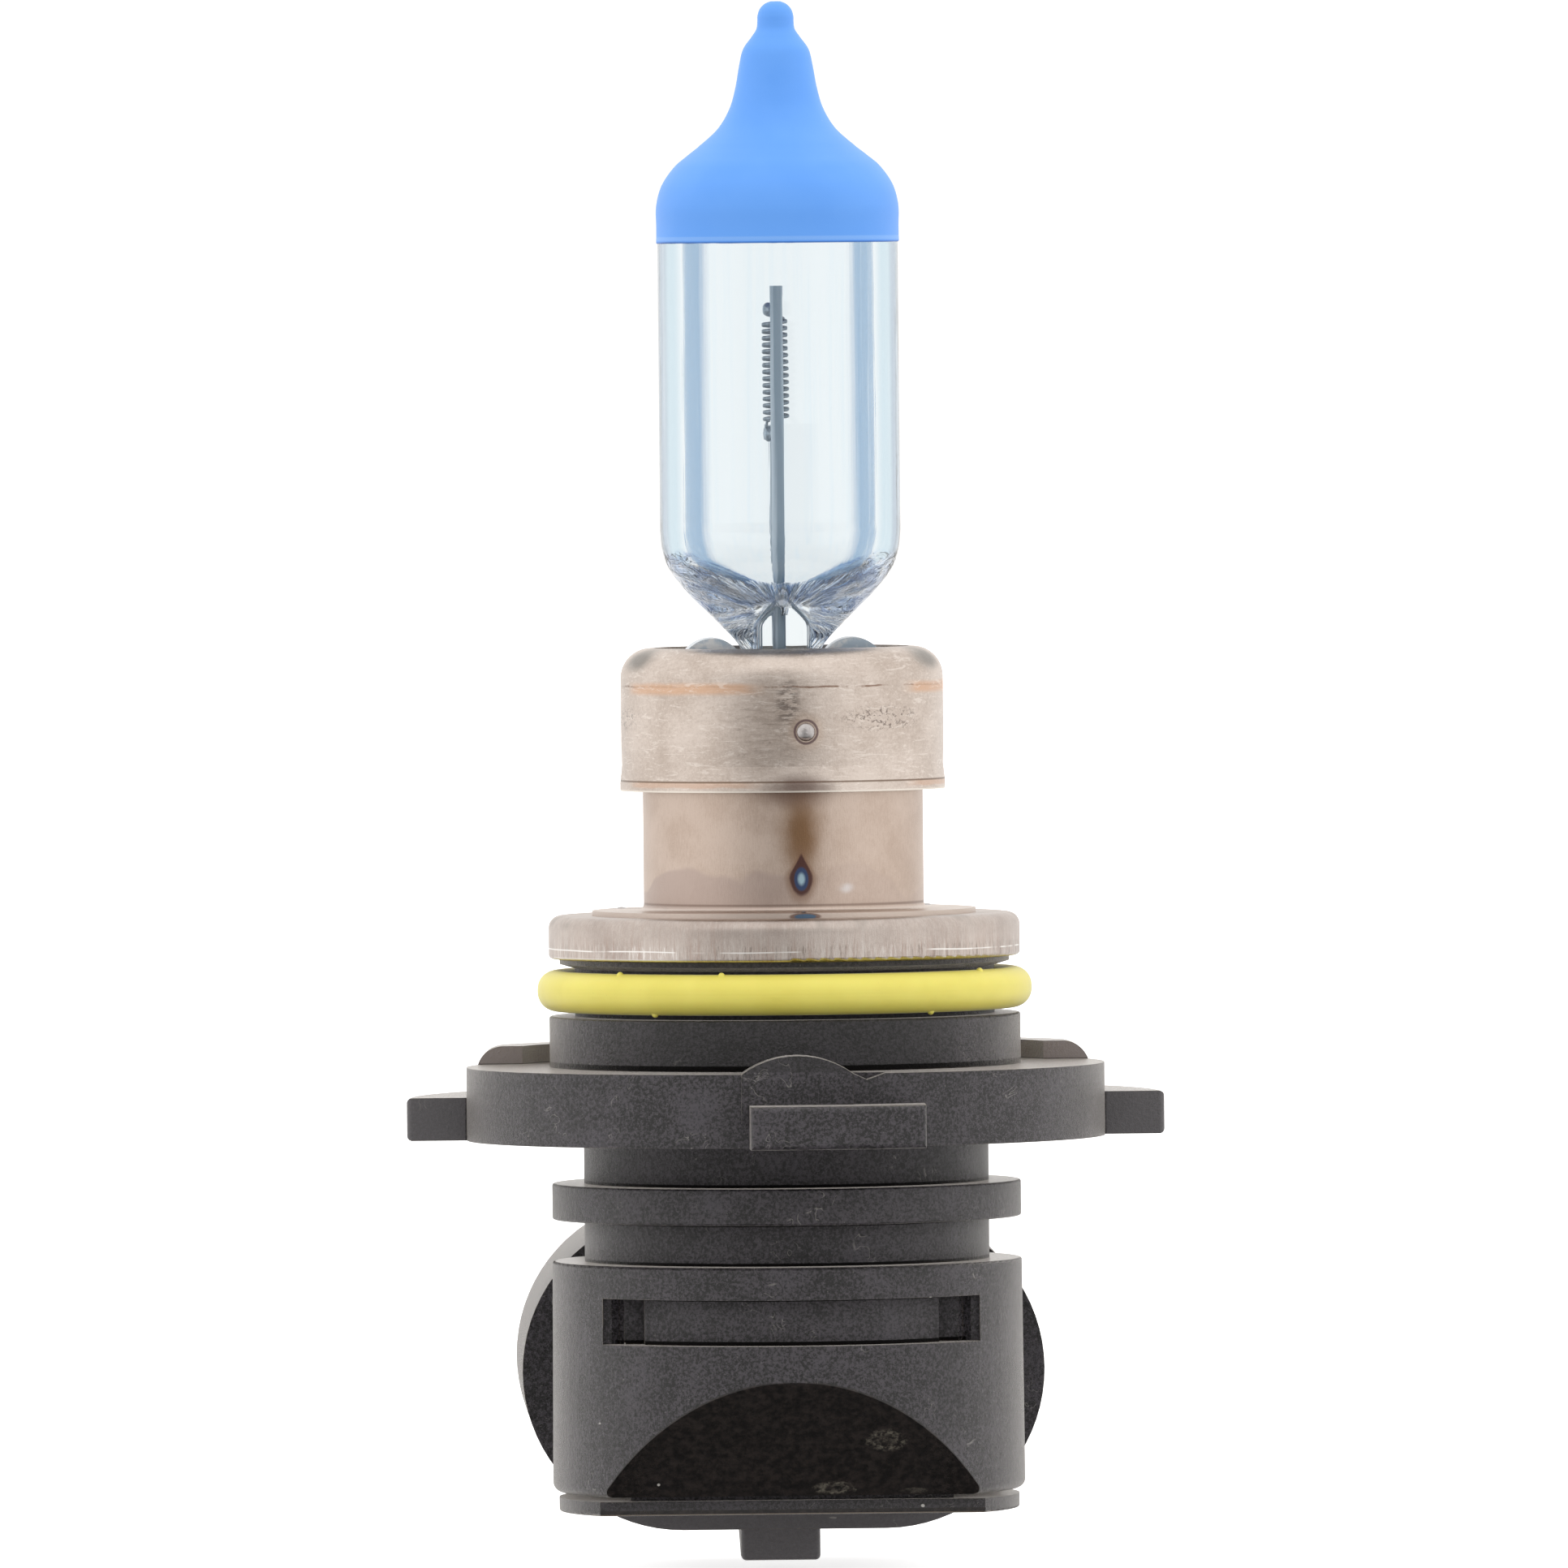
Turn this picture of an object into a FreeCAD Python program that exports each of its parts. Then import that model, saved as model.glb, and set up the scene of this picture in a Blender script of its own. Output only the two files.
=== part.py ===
import FreeCAD, Part
import math
import os

import Sketcher
from FreeCAD import Placement, Rotation, Vector

# A right-angle headlight bulb, in millimetres.
# The origin is on the bulb's axis, in the plane of the three seating pads on top of the flange.
# +Z runs up the glass, -Y is the side away from the plug, +Y is the way the plug leaves.

SIZES = {
    # glass
    "tube_radius": 5.62,
    "tube_wall": 1.15,
    "shoulder_start": 38.3,
    "tip_top": 48.74,
    "knob_radius": 0.82,
    "knob_waist": 0.47,
    "cavity_top": 44.6,
    "cavity_floor": 21.6,
    "cavity_side_floor": 23.9,
    "seal_shoulder": 24.1,
    "seal_half_thick": 1.25,
    "seal_half_wide": 4.9,
    "seal_bottom": 8.0,
    "coating_edge": 37.5,
    "coating_thick": 0.05,
    # filament and its leads
    "coil_offset_x": -0.17,
    "coil_bottom": 29.15,
    "coil_height": 4.8,
    "coil_outer_radius": 0.645,
    "coil_wire_radius": 0.085,
    "coil_pitch": 0.314,
    "coil_start_angle": 125.0,
    "post_radius": 0.285,
    "post_offset_x": -0.14,
    "post_offset_y": 1.85,
    "long_post_top": 35.5,
    "short_post_top": 29.0,
    "foil_top": 18.6,
    "foil_bottom": 11.2,
    "foil_wide": 2.2,
    "foil_thick": 0.1,
    "foil_lap": 1.2,
    "lead_radius": 0.4,
    "lead_bend_radius": 2.0,
    "lead_upper_bend": 4.0,
    "lead_lower_bend": -3.4,
    "lead_foot": -8.0,
    "coil_weld_half_wide": 0.62,
    "coil_weld_half_thick": 0.26,
    "coil_weld_offset_x": -0.5,
    "coil_weld_offset_y": 1.05,
    "top_weld_level": 34.4,
    "top_weld_half_height": 0.33,
    "bottom_weld_level": 28.6,
    "bottom_weld_half_height": 0.38,
    # metal holder
    "cup_radius": 7.53,
    "cup_wall": 0.4,
    "cup_bottom": 12.0,
    "cup_top": 18.65,
    "cup_corner": 1.4,
    "cup_mouth_radius": 5.95,
    "cup_lip": 0.06,
    "cup_lip_top": 12.35,
    "cup_waist": 0.03,
    "cup_waist_level": 13.2,
    "cup_waist_end": 14.0,
    "sleeve_radius": 6.54,
    "sleeve_wall": 0.35,
    "sleeve_top": 16.5,
    "sleeve_flare_start": 12.5,
    "sleeve_flare_end": 13.3,
    "sleeve_flare_lift": 0.2,
    "sleeve_foot_round": 0.3,
    "sleeve_flange_radius": 8.96,
    "sleeve_flange_thick": 0.22,
    "clip_sheet": 0.3,
    "clip_radius": 6.9,
    "clip_window_gap_x": 0.35,
    "clip_window_gap_y": 0.05,
    "ear_sink": 0.1,
    "ear_inner": 1.75,
    "ear_outer": 4.8,
    "ear_top": 19.1,
    "ear_half_length": 2.4,
    # metal cap ring
    "cap_radius": 11.0,
    "cap_top": 6.2,
    "cap_bottom": 4.2,
    "cap_corner": 0.57,
    "cap_hole_radius": 5.6,
    "cap_plate": 0.8,
    "cap_skirt": 1.4,
    "cap_hem_round": 0.2,
    # sealing ring
    "groove_radius": 9.8,
    "groove_top": 3.75,
    "groove_bottom": 1.52,
    "seal_ring_width": 1.74,
    "seal_ring_height": 1.9,
    "seal_ring_level": 2.7,
    "pip_radius": 0.16,
    "pip_sink": 0.06,
    "pip_shift": 0.2,
    # moulded base
    "cut_clearance": 1.0,
    "ring_edge_round": 0.12,
    "rim_radius": 10.5,
    "rim_edge": 3.95,
    "bore_radius": 5.4,
    "bore_floor": -8.5,
    "flange_radius": 14.9,
    "flange_top": -0.85,
    "flange_bottom": -4.26,
    "neck_radius": 9.45,
    "rib_radius": 10.95,
    "rib_top": -6.29,
    "rib_bottom": -7.98,
    "box_top": -9.93,
    "box_bottom": -20.7,
    "box_radius": 10.96,
    "box_draft": 0.07,
    "box_corner": 0.45,
    "lug_radius": 17.7,
    "lug_root_radius": 12.4,
    "lug_edge_round": 0.25,
    "lug_top": -2.26,
    "front_lug_left": -2.06,
    "front_lug_right": 6.06,
    "side_lug_rear": 10.2,
    "pad_inner_radius": 12.9,
    "rear_pad_front": 4.2,
    "rear_pad_back": 11.6,
    "rear_pad_full": 13.1,
    "ramp_foot_level": -0.83,
    "front_pad_proud": 0.12,
    "front_pad_left": -2.42,
    "front_pad_right": 2.76,
    "front_pad_foot": -3.1,
    "notch_middle": 3.4,
    "notch_level": -1.15,
    "notch_end": 4.25,
    "slot_top": -11.45,
    "slot_bottom": -13.58,
    "slot_half_wide": 8.75,
    "slot_core_half": 6.83,
    "slot_core_radius": 10.0,
    "slot_pocket_floor": 6.3,
    "scoop_top": -15.3,
    "scoop_foot": 6.55,
    "chamber_half_wide": 6.6,
    "chamber_front": -3.4,
    "chamber_rear": 7.4,
    "chamber_roof": -11.0,
    # bottom cover
    "cover_radius": 10.75,
    "cover_top": -20.93,
    "cover_bottom": -21.6,
    "cover_front": 5.95,
    "cover_rear": 8.2,
    "cover_edge_round": 0.12,
    "cover_seat_half_wide": 7.5,
    "cover_seat_front": 5.5,
    "cover_seat_rear": 7.9,
    # plug socket and terminals
    "socket_half_wide": 12.28,
    "socket_end_radius": 7.5,
    "socket_level": -15.5,
    "socket_root": 8.5,
    "socket_mouth": 28.0,
    "socket_wall": 1.6,
    "socket_floor": 12.5,
    "socket_lip_round": 0.4,
    "lock_half_wide": 1.88,
    "lock_height": 1.9,
    "lock_flat": 1.6,
    "lock_nose_height": 0.3,
    "lock_sink": 0.8,
    "lock_edge_round": 0.25,
    "lock_face": 17.0,
    "lock_nose": 24.0,
    "blade_offset_x": 3.5,
    "blade_wide": 2.8,
    "blade_thick": 0.8,
    "blade_tip": 24.0,
    "blade_bend_radius": 1.0,
    "blade_chamfer": 0.24,
    "blade_leg_top": -4.5,
    # sealing compound around the leads
    "potting_top": 1.0,
    "potting_bottom": -2.0,
    # weld nuggets between the sheets
    "bead_radius": 0.5,
    "holder_bead_height": 0.25,
    "flange_bead_height": 0.08,
    "holder_bead_level": 14.8,
    "holder_bead_angle": 7.0,
    "flange_bead_reach": 8.3,
    "flange_bead_angle": 5.0,
}

# outlines of the glass, as (radius, level); the ends come from the sizes above
TIP_FLANK = [(5.36, 40.2), (4.14, 41.6), (2.62, 42.9), (1.83, 44.8), (1.43, 46.6)]
PINCHED_FLANK = [(5.26, 22.3), (4.01, 20.8), (2.52, 19.3), (1.25, 16.9)]
CAVITY_ROOF = [(3.5, 40.6), (1.5, 42.3), (0.5, 44.0)]
SEAL_WAIST = 18.9
CAVITY_BOWL_REACH, CAVITY_BOWL_RISE = 0.62, 0.35

# moulding pips on the sealing ring: the angle about the axis, and 1 on top or -1 underneath
PIPS = [(-136.0, 1), (-107.0, 1), (-35.0, 1), (-125.0, -1), (-53.0, -1)]

doc = FreeCAD.newDocument("headlight_bulb")
sheet = doc.addObject("Spreadsheet::Sheet", "Sizes")


class Size:
    """A number from the sheet, together with the expression that reads it."""

    def __init__(self, value, text):
        self.value = value
        self.text = text

    def __add__(self, other):
        other = as_size(other)
        return Size(self.value + other.value, f"({self.text} + {other.text})")

    def __radd__(self, other):
        return as_size(other) + self

    def __sub__(self, other):
        other = as_size(other)
        return Size(self.value - other.value, f"({self.text} - {other.text})")

    def __rsub__(self, other):
        return as_size(other) - self

    def __mul__(self, factor):
        return Size(self.value * factor, f"({self.text} * {factor})")

    def __truediv__(self, factor):
        return Size(self.value / factor, f"({self.text} / {factor})")

    def __neg__(self):
        return Size(-self.value, f"(0 - {self.text})")


def as_size(value):
    return value if isinstance(value, Size) else Size(float(value), f"({float(value)})")


def on_circle(radius, across):
    """The other coordinate of a circle's point, bound to both sizes."""
    value = math.sqrt(radius.value**2 - across.value**2)
    return Size(value, f"sqrt({radius.text} ^ 2 - {across.text} ^ 2)")


def dome_radius(half_chord, rise):
    """The radius of an arc over a chord, bound to both sizes."""
    value = (half_chord.value**2 + rise.value**2) / (2 * rise.value)
    chord, high = half_chord.text, rise.text
    return Size(value, f"(({chord} ^ 2 + {high} ^ 2) / (2 * {high}))")


def fill_sheet():
    for row, (alias, value) in enumerate(SIZES.items(), start=1):
        sheet.set(f"A{row}", alias)
        sheet.set(f"B{row}", str(value))
        sheet.setAlias(f"B{row}", alias)
    doc.recompute()


def size(alias):
    return Size(float(sheet.get(alias)), f"Sizes.{alias}")


def number(alias):
    return float(sheet.get(alias))


def bind(item, **properties):
    """Bind an object's properties to sheet expressions."""
    for name, value in properties.items():
        value = as_size(value)
        item.setExpression(name, value.text)


# --- sketch helpers -------------------------------------------------------------------------

def new_body(label):
    body = doc.addObject("PartDesign::Body", label)
    body.Label = label
    return body


def new_sketch(body, name, role, offset=None):
    """A sketch on one of the body's own origin planes, moved along the plane's normal."""
    sketch = body.newObject("Sketcher::SketchObject", name)
    plane = next(item for item in body.Origin.OriginFeatures if item.Role == role)
    sketch.AttachmentSupport = (plane, [""])
    sketch.MapMode = "FlatFace"
    if offset is not None:
        sketch.setExpression("AttachmentOffset.Base.z", as_size(offset).text)
        sketch.AttachmentOffset = Placement(Vector(0, 0, as_size(offset).value), Rotation())
    return sketch


def pin(sketch, kind, axis, geometry, end, value):
    """Hold one coordinate of a point at a sheet-bound value."""
    if value.text == "(0.0)":
        sketch.addConstraint(Sketcher.Constraint("PointOnObject", geometry, end, axis))
        return
    index = sketch.addConstraint(Sketcher.Constraint(kind, -1, 1, geometry, end, value.value))
    sketch.setExpression(f"Constraints[{index}]", value.text)


def pin_point(sketch, geometry, end, across, up):
    pin(sketch, "DistanceX", -2, geometry, end, across)
    pin(sketch, "DistanceY", -1, geometry, end, up)


def arc_about(centre, start, end):
    """The anticlockwise arc about a centre, from start to end."""
    first = math.atan2(start.y - centre.y, start.x - centre.x)
    last = math.atan2(end.y - centre.y, end.x - centre.x)
    middle = first + (last - first) % (2 * math.pi) / 2
    radius = start.distanceToPoint(centre)
    via = centre + Vector(radius * math.cos(middle), radius * math.sin(middle), 0)
    return Part.Arc(start, via, end)


def outline(sketch, points):
    """A closed outline. A corner is (x, y), or (x, y, centre_x, centre_y, turn) after an arc.

    turn is 1 where the arc runs anticlockwise and -1 where it runs clockwise.
    """
    first = sketch.GeometryCount
    corners = [[as_size(value) for value in point[:4]] for point in points]
    ends = []
    for index, (corner, point) in enumerate(zip(corners, points)):
        start = Vector(corners[index - 1][0].value, corners[index - 1][1].value, 0)
        end = Vector(corner[0].value, corner[1].value, 0)
        # a clockwise arc is drawn the other way round, so its first end is the later one
        clockwise = len(point) == 5 and point[4] < 0
        ends.append(1 if clockwise else 2)
        if len(point) == 5:
            centre = Vector(corner[2].value, corner[3].value, 0)
            arc = arc_about(centre, end, start) if clockwise else arc_about(centre, start, end)
            sketch.addGeometry(arc, False)
        else:
            sketch.addGeometry(Part.LineSegment(start, end), False)
    for index, corner in enumerate(corners):
        following = (index + 1) % len(corners)
        rule = (first + index, ends[index], first + following, 3 - ends[following])
        sketch.addConstraint(Sketcher.Constraint("Coincident", *rule))
        pin_point(sketch, first + index, ends[index], corner[0], corner[1])
        if len(corner) == 4:
            pin_centre(sketch, first + index, corners[index - 1], corner)


def pin_centre(sketch, geometry, start, corner):
    """Hold an arc's centre along the one direction that its two ends leave free."""
    run = abs(corner[0].value - start[0].value)
    rise = abs(corner[1].value - start[1].value)
    if run > rise:
        pin(sketch, "DistanceY", -1, geometry, 3, corner[3])
    else:
        pin(sketch, "DistanceX", -2, geometry, 3, corner[2])


def circle(sketch, x, y, radius):
    x, y, radius = as_size(x), as_size(y), as_size(radius)
    index = sketch.addGeometry(Part.Circle(Vector(x.value, y.value, 0), Vector(0, 0, 1), radius.value))
    pin_point(sketch, index, 3, x, y)
    rule = sketch.addConstraint(Sketcher.Constraint("Radius", index, radius.value))
    sketch.setExpression(f"Constraints[{rule}]", radius.text)


def spin(body, sketch, name, kind="PartDesign::Revolution"):
    """Turn a sketch about its own vertical axis."""
    feature = body.newObject(kind, name)
    feature.Profile = sketch
    feature.ReferenceAxis = (sketch, ["V_Axis"])
    feature.Angle = 360
    sketch.Visibility = False
    doc.recompute()
    return feature


def extrude(body, sketch, name, length, kind="PartDesign::Pad", reverse=False, middle=False):
    """A pad or a pocket, whose effect on the body's volume is checked."""
    before = body.Shape.Volume if body.Tip else 0.0
    feature = body.newObject(kind, name)
    feature.Profile = sketch
    bind(feature, Length=length)
    feature.Reversed = reverse
    feature.Midplane = middle
    sketch.Visibility = False
    doc.recompute()
    change = body.Shape.Volume - before
    if change * (1 if kind == "PartDesign::Pad" else -1) < 1e-4 or not feature.Shape.isValid():
        raise RuntimeError(f"{body.Label}.{name} changed the volume by {change:.4f}")
    return feature


def soften(body, name, radius, wanted, kind="PartDesign::Fillet"):
    """Round, or chamfer, every edge of the body that the test picks."""
    base = body.Tip
    edges = enumerate(base.Shape.Edges, start=1)
    picked = [f"Edge{index}" for index, edge in edges if wanted(edge)]
    if not picked:
        raise RuntimeError(f"{body.Label}.{name} found no edge")
    feature = body.newObject(kind, name)
    feature.Base = (base, picked)
    if kind == "PartDesign::Fillet":
        bind(feature, Radius=radius)
    else:
        bind(feature, Size=radius)
    doc.recompute()
    if "Invalid" in feature.State or not feature.Shape.isValid():
        raise RuntimeError(f"{body.Label}.{name}: {feature.getStatusString()}")
    return feature


def is_ring(edge, radius, level):
    """Whether an edge is a level circle, or an arc of one, about the bulb's axis."""
    curve = edge.Curve
    return (
        isinstance(curve, Part.Circle)
        and abs(curve.Radius - radius) < 1e-3
        and abs(curve.Center.z - level) < 1e-3
        and math.hypot(curve.Center.x, curve.Center.y) < 1e-3
    )


def span(edge, axis):
    box = edge.BoundBox
    return getattr(box, f"{axis}Max") - getattr(box, f"{axis}Min")


def part_object(kind, label, **properties):
    """A Part primitive whose sizes follow the sheet."""
    item = doc.addObject(kind, label)
    item.Label = label
    bind(item, **properties)
    return item


def place(item, x, y, z, rotation=Rotation()):
    x, y, z = as_size(x), as_size(y), as_size(z)
    item.Placement = Placement(Vector(x.value, y.value, z.value), rotation)
    for axis, value in (("x", x), ("y", y), ("z", z)):
        item.setExpression(f"Placement.Base.{axis}", value.text)


def boolean(kind, label, base, tool):
    item = doc.addObject(kind, label)
    item.Label = label
    item.Base = base
    item.Tool = tool
    doc.recompute()
    return item


# --- metal and plastic pieces of the base ------------------------------------------------------

def build_base_housing():
    """One moulding: stepped cylinder, lugged flange, rib, box and plug socket."""
    body = new_body("base_housing")
    add_turned_stack(body)
    add_lugs(body)
    add_pads(body)
    add_socket(body)
    cut_box_front(body)
    cut_inside(body)
    return body


def add_turned_stack(body):
    half = new_sketch(body, "half_section", "XZ_Plane")
    bore = size("bore_radius")
    outline(half, [
        (bore, size("box_bottom")),
        (bore, size("cap_top") - size("cap_plate")),
        (size("cap_radius") - size("cap_skirt"), size("cap_top") - size("cap_plate")),
        (size("cap_radius") - size("cap_skirt"), size("cap_bottom")),
        (size("rim_radius"), size("cap_bottom")),
        (size("rim_radius"), size("rim_edge")),
        (size("groove_radius"), size("groove_top")),
        (size("groove_radius"), size("groove_bottom")),
        (size("cap_radius"), size("groove_bottom")),
        (size("cap_radius"), size("flange_top")),
        (size("flange_radius"), size("flange_top")),
        (size("flange_radius"), size("flange_bottom")),
        (size("neck_radius"), size("flange_bottom")),
        (size("neck_radius"), size("rib_top")),
        (size("rib_radius"), size("rib_top")),
        (size("rib_radius"), size("rib_bottom")),
        (size("neck_radius"), size("rib_bottom")),
        (size("neck_radius"), size("box_top")),
        (size("box_radius"), size("box_top")),
        (size("box_radius") + size("box_draft"), size("box_bottom")),
    ])
    spin(body, half, "stack")
    level = number("box_bottom")
    radius = number("box_radius") + number("box_draft")
    soften(body, "box_edge", size("box_corner"), lambda edge: is_ring(edge, radius, level))
    rings = [("cap_radius", "groove_bottom"), ("rib_radius", "rib_top"), ("rib_radius", "rib_bottom"),
             ("box_radius", "box_top")]
    soften(body, "ring_edges", size("ring_edge_round"), lambda edge: any(
        is_ring(edge, number(radius), number(level)) for radius, level in rings
    ))
    # the bore stops at a floor that the terminals pass through
    plug = new_sketch(body, "bore_floor_disc", "XY_Plane", size("bore_floor"))
    circle(plug, 0, 0, bore)
    extrude(body, plug, "bore_floor", size("bore_floor") - size("box_bottom"), reverse=True)


def add_lugs(body):
    """Three locating lugs: one off-centre in front, one on each side."""
    sketch = new_sketch(body, "lug_outlines", "XY_Plane", size("flange_bottom"))
    radius = size("lug_radius")
    inside = size("lug_root_radius")
    left, right = size("front_lug_left"), size("front_lug_right")
    outline(sketch, [
        (left, -inside),
        (left, -on_circle(radius, left)),
        (right, -on_circle(radius, right), 0.0, 0.0, 1),
        (right, -on_circle(inside, right)),
    ])
    rear = size("side_lug_rear")
    for side in (-1, 1):
        outline(sketch, [
            (radius * side, 0.0),
            (on_circle(radius, rear) * side, rear, 0.0, 0.0, side),
            (on_circle(inside, rear) * side, rear),
            (inside * side, 0.0),
        ])
    extrude(body, sketch, "lugs", size("lug_top") - size("flange_bottom"))
    tip = number("lug_radius")

    def on_lug_tip(edge):
        reach = min(math.hypot(corner.X, corner.Y) for corner in edge.Vertexes)
        return reach > tip - 0.01

    soften(body, "lug_edges", size("lug_edge_round"), on_lug_tip)


def add_pads(body):
    """Three seating pads stand on the flange's rim up to the reference plane."""
    rear = new_sketch(body, "rear_pad_outlines", "XY_Plane", size("flange_top"))
    outer, inner = size("flange_radius"), size("pad_inner_radius")
    front, back = size("rear_pad_front"), size("rear_pad_back")
    for side in (-1, 1):
        outline(rear, [
            (on_circle(outer, front) * side, front),
            (on_circle(outer, back) * side, back, 0.0, 0.0, side),
            (on_circle(inner, back) * side, back),
            (on_circle(inner, front) * side, front, 0.0, 0.0, -side),
        ])
    extrude(body, rear, "rear_pads", -size("flange_top"))
    # each rear pad starts with a rounded shoulder that the lamp's seat climbs
    ramps = new_sketch(body, "ramp_cuts", "XZ_Plane")
    full, low, clear = size("rear_pad_full"), size("ramp_foot_level"), size("cut_clearance")
    foot = on_circle(outer, front)
    shoulder = dome_radius(foot - full, -low)
    for side in (-1, 1):
        outline(ramps, [
            (full * side, 0.0, full * side, -shoulder, side),
            (full * side, clear),
            ((foot + clear) * side, clear),
            ((foot + clear) * side, low),
            (foot * side, low),
        ])
    extrude(body, ramps, "ramps", size("flange_radius"), kind="PartDesign::Pocket")
    # the front pad is a low dome that stands a little proud of the rim
    face = size("flange_radius") + size("front_pad_proud")
    dome = new_sketch(body, "front_pad_outline", "XZ_Plane", face)
    top = size("flange_top")
    left, right = size("front_pad_left"), size("front_pad_right")
    outline(dome, [
        (left, size("front_pad_foot")),
        (left, top),
        (right, top, (left + right) / 2, -dome_radius((right - left) / 2, -top), -1),
        (right, size("front_pad_foot")),
    ])
    extrude(body, dome, "front_pad", face - size("pad_inner_radius"), reverse=True)
    notch = new_sketch(body, "front_notch_outline", "XZ_Plane", face)
    outline(notch, [
        (right, top),
        (right, clear),
        (size("notch_end"), clear),
        (size("notch_end"), top),
        (size("notch_middle"), size("notch_level")),
    ])
    extrude(body, notch, "front_notch", face - size("pad_inner_radius"), kind="PartDesign::Pocket")


def stadium(sketch, half_wide, end_radius, level):
    straight = half_wide - end_radius
    outline(sketch, [
        (straight, level + end_radius),
        (straight, level - end_radius, straight, level, -1),
        (-straight, level - end_radius),
        (-straight, level + end_radius, -straight, level, -1),
    ])


def add_socket(body):
    """The oval plug socket behind the box, with its lock ramp underneath."""
    root, mouth = size("socket_root"), size("socket_mouth")
    level = size("socket_level")
    shell = new_sketch(body, "socket_outline", "XZ_Plane", -root)
    stadium(shell, size("socket_half_wide"), size("socket_end_radius"), level)
    extrude(body, shell, "socket", mouth - root, reverse=True)
    mouth_at = number("socket_mouth")
    soften(body, "socket_lip", size("socket_lip_round"), lambda edge: edge.BoundBox.YMin > mouth_at - 1e-3)
    underside = level - size("socket_end_radius")
    lock = new_sketch(body, "lock_outline", "YZ_Plane")
    face, nose = size("lock_face"), size("lock_nose")
    sunk, hook = underside + size("lock_sink"), underside - size("lock_height")
    outline(lock, [
        (face, sunk),
        (face, hook),
        (face + size("lock_flat"), hook),
        (nose, underside - size("lock_nose_height")),
        (nose, sunk),
    ])
    extrude(body, lock, "lock_ramp", size("lock_half_wide") * 2, middle=True)
    lowest = number("socket_level") - number("socket_end_radius") - number("lock_height")
    soften(body, "lock_edges", size("lock_edge_round"),
           lambda edge: abs(edge.BoundBox.ZMin - lowest) < 1e-3)
    # the socket's inside
    wall = size("socket_wall")
    inside = new_sketch(body, "socket_inside", "XZ_Plane", -mouth)
    stadium(inside, size("socket_half_wide") - wall, size("socket_end_radius") - wall, level)
    extrude(body, inside, "socket_cavity", mouth - size("socket_floor"), kind="PartDesign::Pocket",
            reverse=True)


def cut_box_front(body):
    """The slot across the box's front and the scooped face below it."""
    slot = new_sketch(body, "slot_section", "YZ_Plane")
    clear = size("cut_clearance")
    outside = size("box_radius") + clear
    core = size("slot_core_radius")
    outline(slot, [
        (-outside, size("slot_bottom")),
        (-core, size("slot_bottom")),
        (-core, size("slot_top")),
        (-outside, size("slot_top")),
    ])
    groove = body.newObject("PartDesign::Groove", "slot")
    groove.Profile = slot
    groove.ReferenceAxis = (slot, ["V_Axis"])
    groove.Midplane = True
    reach = size("slot_half_wide")
    groove.setExpression("Angle", f"2 * asin({reach.text} / Sizes.box_radius)")
    before = body.Shape.Volume
    doc.recompute()
    if body.Shape.Volume > before - 1.0:
        raise RuntimeError("the slot removed nothing")
    pockets = new_sketch(body, "slot_pockets", "XZ_Plane", outside)
    inner = size("slot_core_half")
    for side in (-1, 1):
        outline(pockets, [
            (inner * side, size("slot_bottom")),
            (reach * side, size("slot_bottom")),
            (reach * side, size("slot_top")),
            (inner * side, size("slot_top")),
        ])
    extrude(body, pockets, "pockets", outside - size("slot_pocket_floor"), kind="PartDesign::Pocket")
    scoop = new_sketch(body, "scoop_section", "YZ_Plane")
    foot, bottom = size("scoop_foot"), size("box_bottom")
    fall = (size("scoop_top") - bottom) / (number("box_radius") - number("scoop_foot"))
    past = fall * number("cut_clearance")
    outline(scoop, [
        (-foot + clear, bottom - past),
        (-outside, size("scoop_top") + past),
        (-outside, bottom - past),
    ])
    extrude(body, scoop, "scoop", outside * 2, kind="PartDesign::Pocket", middle=True)


def cut_inside(body):
    """The chamber behind the bottom cover and the slots that hold the terminals."""
    chamber = new_sketch(body, "chamber_outline", "XY_Plane", size("box_bottom"))
    half = size("chamber_half_wide")
    outline(chamber, [
        (-half, size("chamber_front")),
        (half, size("chamber_front")),
        (half, size("chamber_rear")),
        (-half, size("chamber_rear")),
    ])
    extrude(body, chamber, "chamber", size("chamber_roof") - size("box_bottom"),
            kind="PartDesign::Pocket", reverse=True)
    legs = new_sketch(body, "leg_slots", "XY_Plane", size("bore_floor"))
    blades = new_sketch(body, "blade_slots", "XZ_Plane", -size("socket_floor"))
    thick, wide = size("blade_thick"), size("blade_wide")
    for side in (-1, 1):
        inner = (size("blade_offset_x") - wide / 2) * side
        outer = (size("blade_offset_x") + wide / 2) * side
        outline(legs, [(inner, -thick / 2), (outer, -thick / 2), (outer, thick / 2), (inner, thick / 2)])
        low = size("socket_level") - thick / 2
        outline(blades, [(inner, low), (outer, low), (outer, low + thick), (inner, low + thick)])
    extrude(body, legs, "leg_passages", size("bore_floor") - size("chamber_roof"),
            kind="PartDesign::Pocket")
    extrude(body, blades, "blade_passages", size("socket_floor") - size("chamber_rear"),
            kind="PartDesign::Pocket", reverse=True)


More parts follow.
